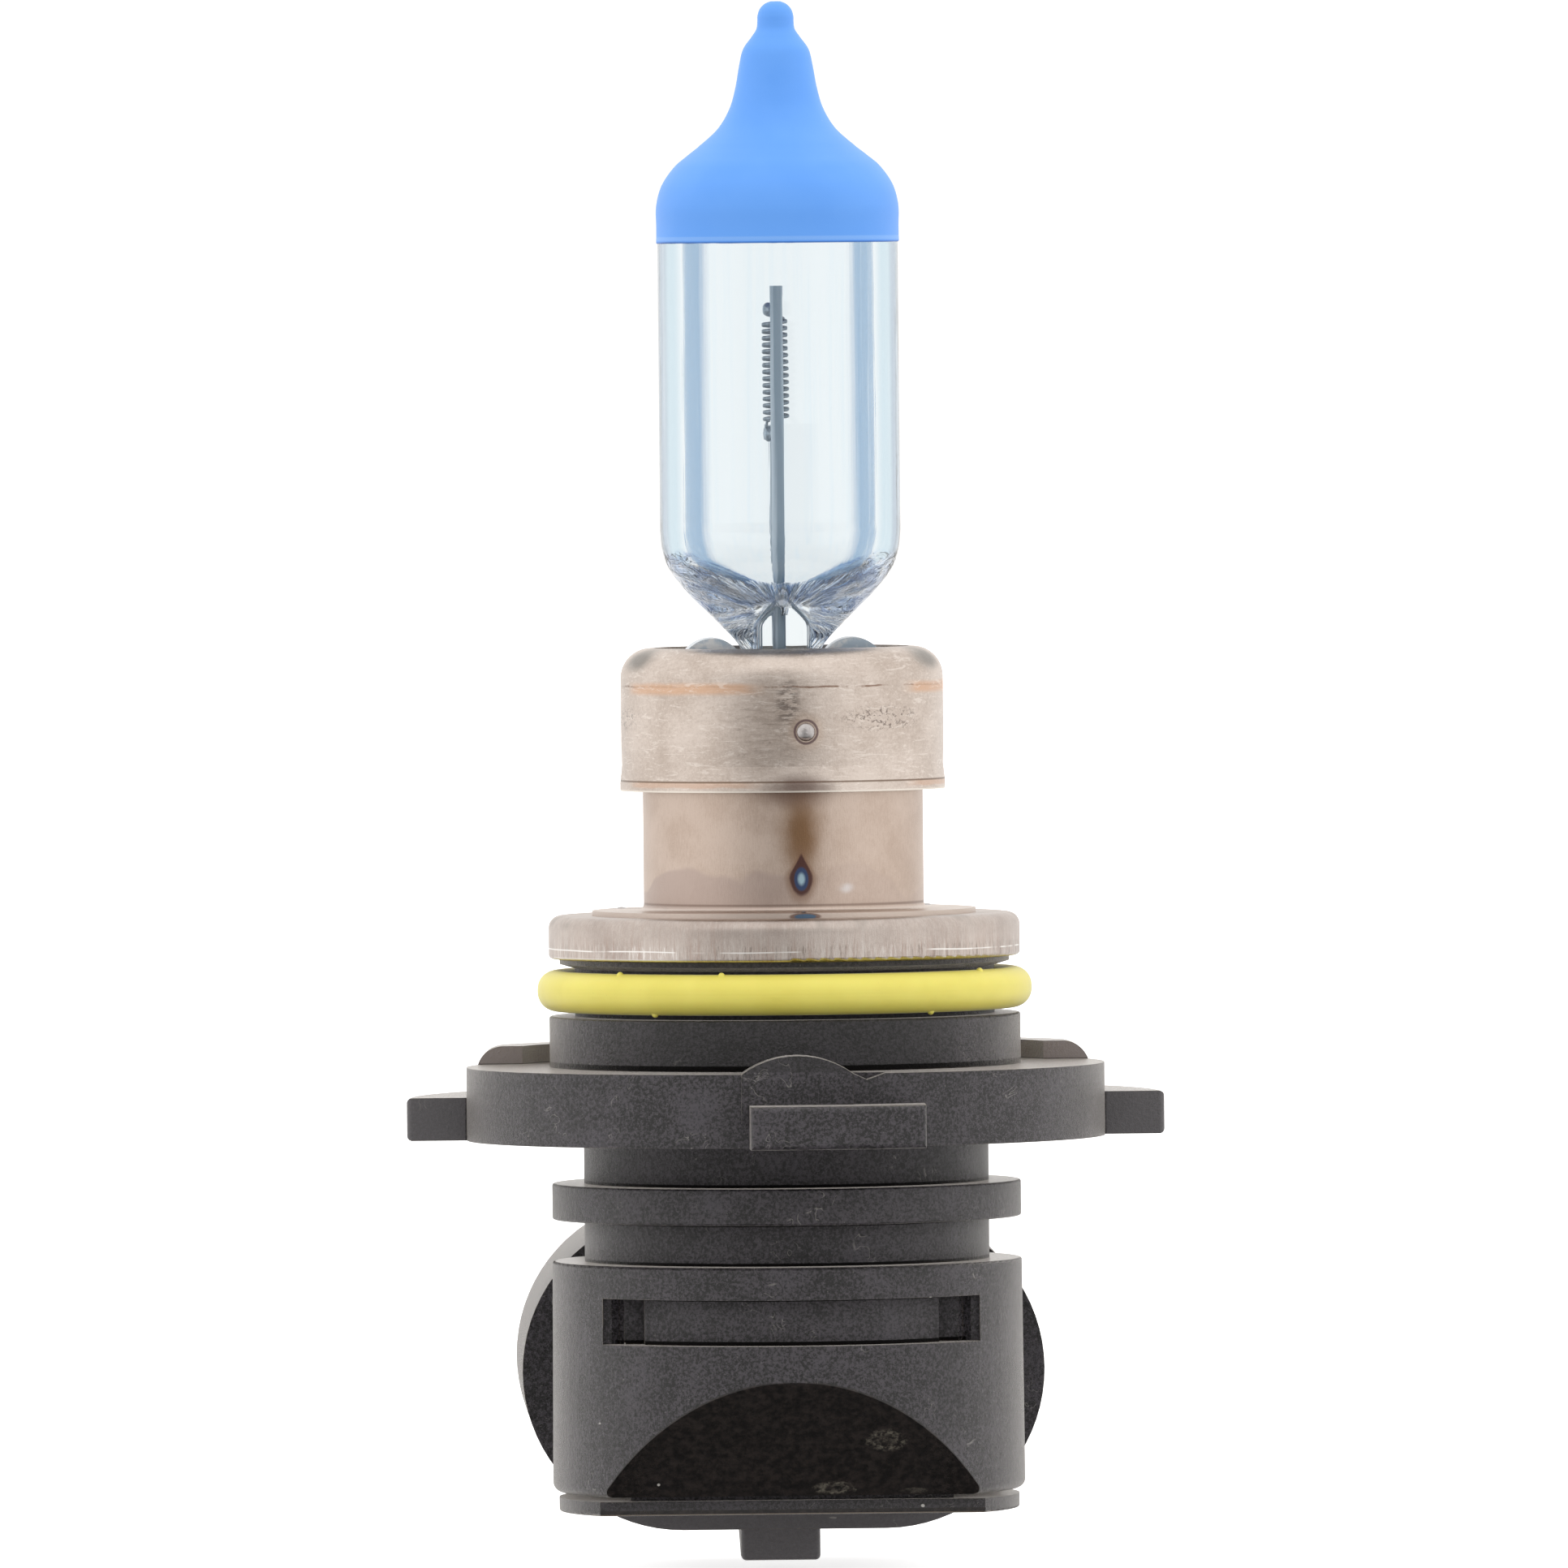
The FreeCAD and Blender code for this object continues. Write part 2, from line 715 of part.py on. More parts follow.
def build_bottom_cover():
    """The cover under the box: a round plate with a straight front and rear edge."""
    body = new_body("bottom_cover")
    disc = new_sketch(body, "cover_outline", "XY_Plane", size("cover_bottom"))
    radius, front, rear = size("cover_radius"), size("cover_front"), size("cover_rear")
    outline(disc, [
        (-on_circle(radius, rear), rear),
        (-on_circle(radius, front), -front, 0.0, 0.0, 1),
        (on_circle(radius, front), -front),
        (on_circle(radius, rear), rear, 0.0, 0.0, 1),
    ])
    extrude(body, disc, "plate", size("cover_top") - size("cover_bottom"))
    low = number("cover_bottom")
    soften(body, "plate_edge", size("cover_edge_round"), lambda edge: abs(edge.BoundBox.ZMax - low) < 1e-3)
    # a raised seat closes the chamber
    seat = new_sketch(body, "seat_outline", "XY_Plane", size("cover_top"))
    half, near, far = size("cover_seat_half_wide"), size("cover_seat_front"), size("cover_seat_rear")
    outline(seat, [(-half, -near), (half, -near), (half, far), (-half, far)])
    extrude(body, seat, "seat", size("box_bottom") - size("cover_top"))
    return body


def build_base_ring():
    """The metal cap ring: a drawn pan with a hole, rounded at its top corner."""
    body = new_body("base_ring")
    half = new_sketch(body, "pan_section", "XZ_Plane")
    radius, skirt = size("cap_radius"), size("cap_skirt")
    top, bottom, plate = size("cap_top"), size("cap_bottom"), size("cap_plate")
    corner, hem = size("cap_corner"), size("cap_hem_round")
    outline(half, [
        (size("cap_hole_radius"), top - plate),
        (size("cap_hole_radius"), top),
        (radius - corner, top),
        (radius, top - corner, radius - corner, top - corner, -1),
        (radius, bottom + hem),
        (radius - hem, bottom, radius - hem, bottom + hem, -1),
        (radius - skirt, bottom),
        (radius - skirt, top - plate),
    ])
    spin(body, half, "pan")
    return body


def build_locating_sleeve():
    """The flanged sleeve; its flared top is hidden inside the cup."""
    body = new_body("locating_sleeve")
    half = new_sketch(body, "sleeve_section", "XZ_Plane")
    radius, wall = size("sleeve_radius"), size("sleeve_wall")
    flare = size("cup_radius") - size("cup_wall")
    foot = size("cap_top")
    top, round_off = foot + size("sleeve_flange_thick"), size("sleeve_foot_round")
    start, end, lift = size("sleeve_flare_start"), size("sleeve_flare_end"), size("sleeve_flare_lift")
    outline(half, [
        (radius - wall, foot),
        (size("sleeve_flange_radius"), foot),
        (size("sleeve_flange_radius"), top),
        (radius + round_off, top),
        (radius, top + round_off, radius + round_off, top + round_off, -1),
        (radius, start),
        (flare, end),
        (flare, size("sleeve_top")),
        (flare - wall, size("sleeve_top")),
        (flare - wall, end + lift),
        (radius - wall, start + lift),
    ])
    spin(body, half, "sleeve")
    return body


def build_glass_holder_cup():
    """The cup that carries the glass, with a turned-in top and a slightly flared lip."""
    body = new_body("glass_holder_cup")
    half = new_sketch(body, "cup_section", "XZ_Plane")
    radius, wall, corner = size("cup_radius"), size("cup_wall"), size("cup_corner")
    top, bottom, mouth = size("cup_top"), size("cup_bottom"), size("cup_mouth_radius")
    lip = radius + size("cup_lip")
    outline(half, [
        (radius - wall, bottom),
        (lip, bottom),
        (lip, size("cup_lip_top")),
        (radius - size("cup_waist"), size("cup_waist_level")),
        (radius, size("cup_waist_end")),
        (radius, top - corner),
        (radius - corner, top, radius - corner, top - corner, 1),
        (mouth, top),
        (mouth, top - wall),
        (radius - corner, top - wall),
        (radius - wall, top - corner, radius - corner, top - corner, -1),
    ])
    spin(body, half, "cup")
    return body


def build_pinch_clip():
    """The sprung plate in the cup, with a window for the seal and two hollow domed ears."""
    body = new_body("pinch_clip")
    level, sheet_thick = size("sleeve_top"), size("clip_sheet")
    disc = new_sketch(body, "plate_outline", "XY_Plane", level)
    circle(disc, 0, 0, size("clip_radius"))
    extrude(body, disc, "plate", sheet_thick)
    ears = new_sketch(body, "ear_outlines", "XZ_Plane")
    hollows = new_sketch(body, "ear_hollows", "XY_Plane", level)
    inner, outer, top = size("ear_inner"), size("ear_outer"), size("ear_top")
    half = size("ear_half_length")
    middle = (outer + inner) / 2
    spring, foot = top - (outer - inner) / 2, level + size("ear_sink")
    for side in (-1, 1):
        outline(ears, [
            (inner * side, foot),
            (inner * side, spring),
            (outer * side, spring, middle * side, spring, -side),
            (outer * side, foot),
        ])
        near, far, end = (inner + sheet_thick) * side, (outer - sheet_thick) * side, half - sheet_thick
        outline(hollows, [(near, -end), (far, -end), (far, end), (near, end)])
    extrude(body, ears, "ears", half * 2, middle=True)
    extrude(body, hollows, "hollows", spring - level, kind="PartDesign::Pocket", reverse=True)
    window = new_sketch(body, "window_outline", "XY_Plane", level)
    half_x = size("seal_half_thick") + size("clip_window_gap_x")
    half_y = size("seal_half_wide") + size("clip_window_gap_y")
    outline(window, [(-half_x, -half_y), (half_x, -half_y), (half_x, half_y), (-half_x, half_y)])
    extrude(body, window, "window", sheet_thick * 2, kind="PartDesign::Pocket", reverse=True)
    return body


def build_sealing_ring():
    """The rubber ring in the groove, a slightly tall oval in section, with moulding pips."""
    body = new_body("ring_profile")
    half = new_sketch(body, "ring_section", "XZ_Plane")
    tall, wide = size("seal_ring_height"), size("seal_ring_width")
    middle, level = size("groove_radius") + wide / 2, size("seal_ring_level")
    flat = tall - wide
    radius = wide / 2
    outline(half, [
        (middle - radius, level - flat / 2),
        (middle + radius, level - flat / 2, middle, level - flat / 2, 1),
        (middle + radius, level + flat / 2),
        (middle - radius, level + flat / 2, middle, level + flat / 2, 1),
    ])
    spin(body, half, "ring")
    pips = []
    reach, rise = middle + size("pip_shift"), tall / 2 - size("pip_sink")
    for index, (angle, up) in enumerate(PIPS):
        pip = part_object("Part::Sphere", f"ring_pip_{index}", Radius=size("pip_radius"))
        place(pip, reach * math.cos(math.radians(angle)), reach * math.sin(math.radians(angle)),
              level + rise * up)
        pips.append(pip)
    ring = doc.addObject("Part::MultiFuse", "sealing_ring")
    ring.Label = "sealing_ring"
    ring.Shapes = [body] + pips
    doc.recompute()
    return ring


# --- terminals, leads and filament ------------------------------------------------------------

def build_terminal(label, side):
    """A blade bent from sheet: an upright leg in the base and a flat blade in the socket."""
    body = new_body(label)
    profile = new_sketch(body, "side_profile", "YZ_Plane", size("blade_offset_x") * side)
    thick, level = size("blade_thick"), size("socket_level")
    half, bend = thick / 2, size("blade_bend_radius")
    outline(profile, [
        (-half, size("blade_leg_top")),
        (-half, level + bend),
        (bend, level - half, bend, level + bend, 1),
        (size("blade_tip"), level - half),
        (size("blade_tip"), level + half),
        (bend, level + half),
        (half, level + bend, bend, level + bend, -1),
        (half, size("blade_leg_top")),
    ])
    extrude(body, profile, "strip", size("blade_wide"), middle=True)
    tip = number("blade_tip")
    soften(body, "nose", size("blade_chamfer"),
           lambda edge: edge.BoundBox.YMin > tip - 1e-3 and span(edge, "X") > 1.0,
           kind="PartDesign::Chamfer")
    return body


def bent_wire(points, radius, bend):
    """A round wire along straight runs joined by tangent arcs."""
    edges = []
    start = points[0]
    for before, corner, after in zip(points, points[1:], points[2:]):
        back = (before - corner).normalize()
        ahead = (after - corner).normalize()
        half_angle = back.getAngle(ahead) / 2
        trim = bend / math.tan(half_angle)
        entry, leave = corner + back * trim, corner + ahead * trim
        centre_way = (back + ahead).normalize()
        centre = corner + centre_way * (bend / math.sin(half_angle))
        edges.append(Part.LineSegment(start, entry).toShape())
        edges.append(Part.Arc(entry, centre - centre_way * bend, leave).toShape())
        start = leave
    edges.append(Part.LineSegment(start, points[-1]).toShape())
    ring = Part.Wire(Part.makeCircle(radius, points[0], points[1] - points[0]))
    return Part.Wire(edges).makePipeShell([ring], True, False)


def build_outer_lead(label, side):
    """A lead wire from the glass seal down to its terminal's leg; -1 is the front one."""
    radius = number("lead_radius")
    offset = number("post_offset_y") * side
    across = number("blade_offset_x") * side
    beside = (number("blade_thick") / 2 + radius) * side
    top = number("foil_bottom") + number("foil_lap")
    route = [
        Vector(0, offset, top),
        Vector(0, offset, number("lead_upper_bend")),
        Vector(across, beside, number("lead_lower_bend")),
        Vector(across, beside, number("lead_foot")),
    ]
    lead = doc.addObject("Part::Feature", label)
    lead.Label = label
    lead.Shape = bent_wire(route, radius, number("lead_bend_radius"))
    lead.Placement = Placement()
    return lead


def build_posts():
    """The two support wires in the glass; the long one carries the coil's top end."""
    posts = []
    for label, side, top in (
        ("long_lead_post", -1, "long_post_top"),
        ("short_lead_post", 1, "short_post_top"),
    ):
        lap = size("foil_top") - size("foil_lap")
        post = part_object("Part::Cylinder", label, Radius=size("post_radius"), Height=size(top) - lap)
        place(post, size("post_offset_x"), size("post_offset_y") * side, lap)
        posts.append(post)
    doc.recompute()
    return posts


def build_foil(label, side, tools):
    """A thin foil that joins a post to its outer lead inside the seal."""
    foil = part_object("Part::Box", f"{label}_sheet", Length=size("foil_thick"),
                       Width=size("foil_wide"), Height=size("foil_top") - size("foil_bottom"))
    place(foil, -size("foil_thick") / 2, size("post_offset_y") * side - size("foil_wide") / 2,
          size("foil_bottom"))
    doc.recompute()
    for index, tool in enumerate(tools):
        last = index == len(tools) - 1
        foil = boolean("Part::Cut", label if last else f"{label}_cut_{index}", foil, tool)
    return foil


def build_filament_coil():
    """The tungsten coil, wound round the bulb's axis."""
    radius = number("coil_outer_radius") - number("coil_wire_radius")
    wire_radius = number("coil_wire_radius")
    height = number("coil_height") - 2 * wire_radius
    spine = Part.makeHelix(number("coil_pitch"), height, radius)
    start = Vector(radius, 0, 0)
    ring = Part.Wire(Part.makeCircle(wire_radius, start, Vector(0, 1, 0)))
    coil = doc.addObject("Part::Feature", "filament_coil")
    coil.Label = "filament_coil"
    coil.Shape = Part.Wire(spine).makePipeShell([ring], True, True)
    # the coil starts at the back, next to the short post
    where = Vector(number("coil_offset_x"), 0, number("coil_bottom") + wire_radius)
    coil.Placement = Placement(where, Rotation(Vector(0, 0, 1), number("coil_start_angle")))
    doc.recompute()
    return coil


def build_coil_weld(end, side, tools):
    """The weld that ties the coil's top or bottom end to its post."""
    label = f"coil_weld_{end}"
    # an ellipsoid's Radius1 is its upright half-height
    weld = part_object("Part::Ellipsoid", f"{label}_bead", Radius1=size(f"{end}_weld_half_height"),
                       Radius2=size("coil_weld_half_wide"), Radius3=size("coil_weld_half_thick"))
    place(weld, size("coil_weld_offset_x"), size("coil_weld_offset_y") * side, size(f"{end}_weld_level"),
          Rotation(Vector(0, 0, 1), 90.0))
    doc.recompute()
    for index, tool in enumerate(tools):
        last = index == len(tools) - 1
        weld = boolean("Part::Cut", label if last else f"{label}_cut_{index}", weld, tool)
    return weld


# --- glass ---------------------------------------------------------------------------------------

def tip_edges(grow):
    """The outline of the drawn-off tip, from the tube's wall to the axis, grown outwards."""
    radius = number("tube_radius") + grow
    start = Vector(radius, 0, number("shoulder_start"))
    knob = number("knob_radius") + grow
    knob_level = number("tip_top") + grow - knob
    sink = number("knob_waist")
    waist = Vector(math.sqrt(knob**2 - sink**2), 0, knob_level - sink)
    # shoulder, 45 degree fall and hollow flank of the drawn tip
    flank = [start, *(Vector(reach + grow, 0, level) for reach, level in TIP_FLANK), waist]
    curve = Part.BSplineCurve()
    curve.interpolate(Points=flank, InitialTangent=Vector(0, 0, 1), FinalTangent=Vector(-0.9, 0, 0.5))
    dome = Part.Arc(waist, Vector(knob, 0, knob_level), Vector(0, 0, knob_level + knob))
    return [curve.toShape(), dome.toShape()]


def revolved(edges):
    """A solid turned from an open outline whose two ends lie on the axis."""
    turned = Part.Wire(edges).revolve(Vector(0, 0, 0), Vector(0, 0, 1), 360)
    solid = Part.Solid(Part.Shell(turned.Faces))
    return solid if solid.Volume > 0 else solid.reversed()


def glass_outside(grow=0.0):
    """The tube, its drawn tip and its flattened seal, without the cavity."""
    radius = number("tube_radius") + grow
    wide = number("seal_half_wide")
    bottom, shoulder = number("seal_bottom"), number("seal_shoulder")
    corners = [Vector(0, 0, bottom), Vector(wide, 0, bottom), Vector(wide, 0, SEAL_WAIST)]
    edges = [Part.LineSegment(a, b).toShape() for a, b in zip(corners, corners[1:])]
    waist = Part.BSplineCurve()
    tube_foot = Vector(radius, 0, shoulder)
    middle = Vector((wide + radius) / 2, 0, (SEAL_WAIST + shoulder) / 2)
    waist.interpolate(Points=[corners[-1], middle, tube_foot],
                      InitialTangent=Vector(0, 0, 1), FinalTangent=Vector(0, 0, 1))
    edges.append(waist.toShape())
    tube_head = Vector(radius, 0, number("shoulder_start"))
    edges.append(Part.LineSegment(tube_foot, tube_head).toShape())
    return revolved(edges + tip_edges(grow))


def seal_jaws():
    """What the pinching jaws leave, seen from the front: narrow below, full width above."""
    radius, thin = number("tube_radius"), number("seal_half_thick")
    clear, shoulder = number("cut_clearance"), number("seal_shoulder")
    top, bottom, reach = number("tip_top") + clear, number("seal_bottom") - clear, radius + clear
    # a hair wider than the tube, so that the two surfaces don't coincide
    flank = [(radius + 0.001, shoulder), *PINCHED_FLANK]
    edges = []
    for side in (1, -1):
        points = [Vector(across * side, 0, level) for across, level in flank]
        curve = Part.BSplineCurve()
        curve.interpolate(Points=points, InitialTangent=Vector(0, 0, -1), FinalTangent=Vector(0, 0, -1))
        edges.append(curve.toShape())
        ends = [Vector(reach * side, 0, top), Vector(reach * side, 0, shoulder), points[0]]
        edges += [Part.LineSegment(a, b).toShape() for a, b in zip(ends, ends[1:])]
        edges.append(Part.LineSegment(points[-1], Vector(thin * side, 0, bottom)).toShape())
    edges.append(Part.LineSegment(Vector(-thin, 0, bottom), Vector(thin, 0, bottom)).toShape())
    edges.append(Part.LineSegment(Vector(-reach, 0, top), Vector(reach, 0, top)).toShape())
    face = Part.Face(Part.Wire(Part.__sortEdges__(edges)))
    solid = face.extrude(Vector(0, 2 * reach, 0))
    solid.translate(Vector(0, -reach, 0))
    return solid


def glass_cavity():
    radius = number("tube_radius") - number("tube_wall")
    floor, side_floor = number("cavity_floor"), number("cavity_side_floor")
    bowl = Part.BSplineCurve()
    bowl.interpolate(
        Points=[Vector(0, 0, floor), Vector(radius * CAVITY_BOWL_REACH, 0, floor + CAVITY_BOWL_RISE),
                Vector(radius, 0, side_floor)],
        InitialTangent=Vector(1, 0, 0), FinalTangent=Vector(0, 0, 1))
    shoulder = number("shoulder_start")
    roof = Part.BSplineCurve()
    roof.interpolate(
        Points=[Vector(radius, 0, shoulder), *(Vector(reach, 0, level) for reach, level in CAVITY_ROOF),
                Vector(0, 0, number("cavity_top"))],
        InitialTangent=Vector(0, 0, 1), FinalTangent=Vector(-0.6, 0, 0.2))
    wall = Part.LineSegment(Vector(radius, 0, side_floor), Vector(radius, 0, shoulder))
    return revolved([bowl.toShape(), wall.toShape(), roof.toShape()])


def only_solid(shape):
    if len(shape.Solids) != 1:
        raise RuntimeError(f"{len(shape.Solids)} solids where one was wanted")
    return shape.Solids[0]


def build_glass(tools):
    glass = doc.addObject("Part::Feature", "glass_envelope")
    glass.Label = "glass_envelope"
    shape = glass_outside().common(seal_jaws()).cut(glass_cavity())
    for tool in tools:
        shape = shape.cut(tool.Shape)
    glass.Shape = only_solid(shape)
    glass.Placement = Placement()
    return glass


def build_tip_coating():
    """The painted skin over the top of the glass."""
    edge, clear = number("coating_edge"), number("cut_clearance")
    above = Part.makeCylinder(number("tube_radius") + clear, number("tip_top") - edge + clear,
                              Vector(0, 0, edge))
    coating = doc.addObject("Part::Feature", "tip_coating")
    coating.Label = "tip_coating"
    skin = glass_outside(number("coating_thick")).common(above).cut(glass_outside())
    coating.Shape = only_solid(skin)
    coating.Placement = Placement()
    return coating


# --- potting and weld nuggets -----------------------------------------------------------------------

def build_lead_seal(tools):
    """The sealing compound that closes the bore round the two leads."""
    disc = part_object("Part::Cylinder", "lead_seal_disc", Radius=size("bore_radius"),
                       Height=size("potting_top") - size("potting_bottom"))
    place(disc, 0, 0, size("potting_bottom"))
    doc.recompute()
    for index, tool in enumerate(tools):
        last = index == len(tools) - 1
        disc = boolean("Part::Cut", "lead_seal" if last else f"lead_seal_cut_{index}", disc, tool)
    return disc


def build_beads(label, angle, reach, level, lying):
    """Three round weld nuggets, 120 degrees apart, each standing a little proud of the sheet.

    The spheres' own axes run through the sheet: outwards where they are lying.
    """
    nuggets = []
    for index in range(3):
        turn = math.radians(angle + 120.0 * index - 90.0)
        nugget = part_object("Part::Sphere", f"{label}_{index}", Radius=size("bead_radius"))
        outwards = Vector(math.cos(turn), math.sin(turn), 0)
        place(nugget, reach * outwards.x, reach * outwards.y, level,
              Rotation(Vector(0, 0, 1), outwards if lying else Vector(0, 0, 1)))
        nuggets.append(nugget)
    group = doc.addObject("Part::MultiFuse", label)
    group.Label = label
    group.Shapes = nuggets
    doc.recompute()
    return group


def build_holder_weld_beads():
    """The nuggets that join the cup to the flared top of the sleeve."""
    sunk = size("bead_radius") - size("holder_bead_height")
    return build_beads("holder_weld_beads", number("holder_bead_angle"),
                       size("cup_radius") - sunk, size("holder_bead_level"), True)


def build_flange_weld_beads():
    """The nuggets that join the sleeve's flange to the cap ring."""
    sunk = size("bead_radius") - size("flange_bead_height")
    top = size("cap_top") + size("sleeve_flange_thick")
    return build_beads("flange_weld_beads", number("flange_bead_angle"),
                       size("flange_bead_reach"), top - sunk, False)


def welded(label, sheet_metal, nuggets):
    """A sheet with room for the nuggets that pass through it."""
    for index, nugget in enumerate(nuggets):
        last = index == len(nuggets) - 1
        sheet_metal.Label = f"{label}_blank_{index}"
        sheet_metal = boolean("Part::Cut", label if last else f"{label}_cut_{index}", sheet_metal, nugget)
    return sheet_metal


# --- whole bulb -------------------------------------------------------------------------------------

def build_all():
    fill_sheet()
    long_post, short_post = build_posts()
    front_lead = build_outer_lead("front_outer_lead", -1)
    rear_lead = build_outer_lead("rear_outer_lead", 1)
    front_foil = build_foil("front_foil", -1, [long_post, front_lead])
    rear_foil = build_foil("rear_foil", 1, [short_post, rear_lead])
    coil = build_filament_coil()
    embedded = [long_post, short_post, front_foil, rear_foil, front_lead, rear_lead]
    holder_beads, flange_beads = build_holder_weld_beads(), build_flange_weld_beads()
    return [
        build_glass(embedded),
        build_tip_coating(),
        coil,
        build_coil_weld("top", -1, [long_post, coil]),
        build_coil_weld("bottom", 1, [short_post, coil]),
        long_post,
        short_post,
        front_foil,
        rear_foil,
        front_lead,
        rear_lead,
        build_pinch_clip(),
        welded("glass_holder_cup", build_glass_holder_cup(), [holder_beads]),
        holder_beads,
        welded("locating_sleeve", build_locating_sleeve(), [holder_beads, flange_beads]),
        flange_beads,
        welded("base_ring", build_base_ring(), [flange_beads]),
        build_base_housing(),
        build_sealing_ring(),
        build_bottom_cover(),
        build_terminal("terminal_left", -1),
        build_terminal("terminal_right", 1),
        build_lead_seal([front_lead, rear_lead]),
    ]


def check_and_write(parts):
    doc.recompute()
    for item in doc.Objects:
        if "Invalid" in item.State or "Error" in item.State:
            raise RuntimeError(f"{item.Label} failed: {item.State}")
    for item in parts:
        shape = item.Shape
        if shape.isNull() or not shape.isValid() or not shape.Solids:
            raise RuntimeError(f"{item.Label} has no valid shape")
    os.makedirs("parts", exist_ok=True)
    for item in parts:
        item.Shape.exportStep(f"parts/{item.Label}.step")
        box = item.Shape.BoundBox
        print(f"{item.Label:20s} solids {len(item.Shape.Solids)} volume {item.Shape.Volume:10.3f} "
              f"x {box.XMin:.2f}..{box.XMax:.2f} y {box.YMin:.2f}..{box.YMax:.2f} "
              f"z {box.ZMin:.2f}..{box.ZMax:.2f}")


check_and_write(build_all())
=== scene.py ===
import math

import bpy
import numpy as np
from mathutils import Matrix, Vector


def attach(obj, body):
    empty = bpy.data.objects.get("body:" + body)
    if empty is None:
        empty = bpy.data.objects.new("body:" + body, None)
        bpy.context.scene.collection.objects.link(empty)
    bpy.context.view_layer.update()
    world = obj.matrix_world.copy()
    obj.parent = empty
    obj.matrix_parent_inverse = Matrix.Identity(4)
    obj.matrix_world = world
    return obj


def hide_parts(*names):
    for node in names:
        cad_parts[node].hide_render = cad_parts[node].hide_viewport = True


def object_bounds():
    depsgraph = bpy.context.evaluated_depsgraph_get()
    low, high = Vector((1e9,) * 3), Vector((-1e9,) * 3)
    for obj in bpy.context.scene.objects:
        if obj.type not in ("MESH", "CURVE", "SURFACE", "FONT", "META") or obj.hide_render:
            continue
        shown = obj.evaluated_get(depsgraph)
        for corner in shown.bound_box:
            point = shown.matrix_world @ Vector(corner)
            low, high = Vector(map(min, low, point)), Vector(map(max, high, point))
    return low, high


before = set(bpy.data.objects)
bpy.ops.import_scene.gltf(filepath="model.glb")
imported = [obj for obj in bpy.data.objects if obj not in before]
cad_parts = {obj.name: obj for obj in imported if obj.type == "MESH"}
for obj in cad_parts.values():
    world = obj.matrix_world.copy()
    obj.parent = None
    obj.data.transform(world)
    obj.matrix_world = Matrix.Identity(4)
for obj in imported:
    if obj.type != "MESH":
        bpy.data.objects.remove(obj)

CAD_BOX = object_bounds()
MM = 0.001
TRACED_SAMPLES = 6  # for the bevel and occlusion nodes


# --- node helpers -----------------------------------------------------------------------------

class Wire:
    """A node's output that can be added to, multiplied and so on."""

    def __init__(self, graph, socket):
        self.graph = graph
        self.socket = socket

    def __add__(self, other):
        return self.graph.calc("ADD", self, other)

    def __sub__(self, other):
        return self.graph.calc("SUBTRACT", self, other)

    def __rsub__(self, other):
        return self.graph.calc("SUBTRACT", other, self)

    def __mul__(self, other):
        return self.graph.calc("MULTIPLY", self, other)

    def __truediv__(self, other):
        return self.graph.calc("DIVIDE", self, other)

    def __abs__(self):
        return self.graph.calc("ABSOLUTE", self)

    __radd__ = __add__
    __rmul__ = __mul__


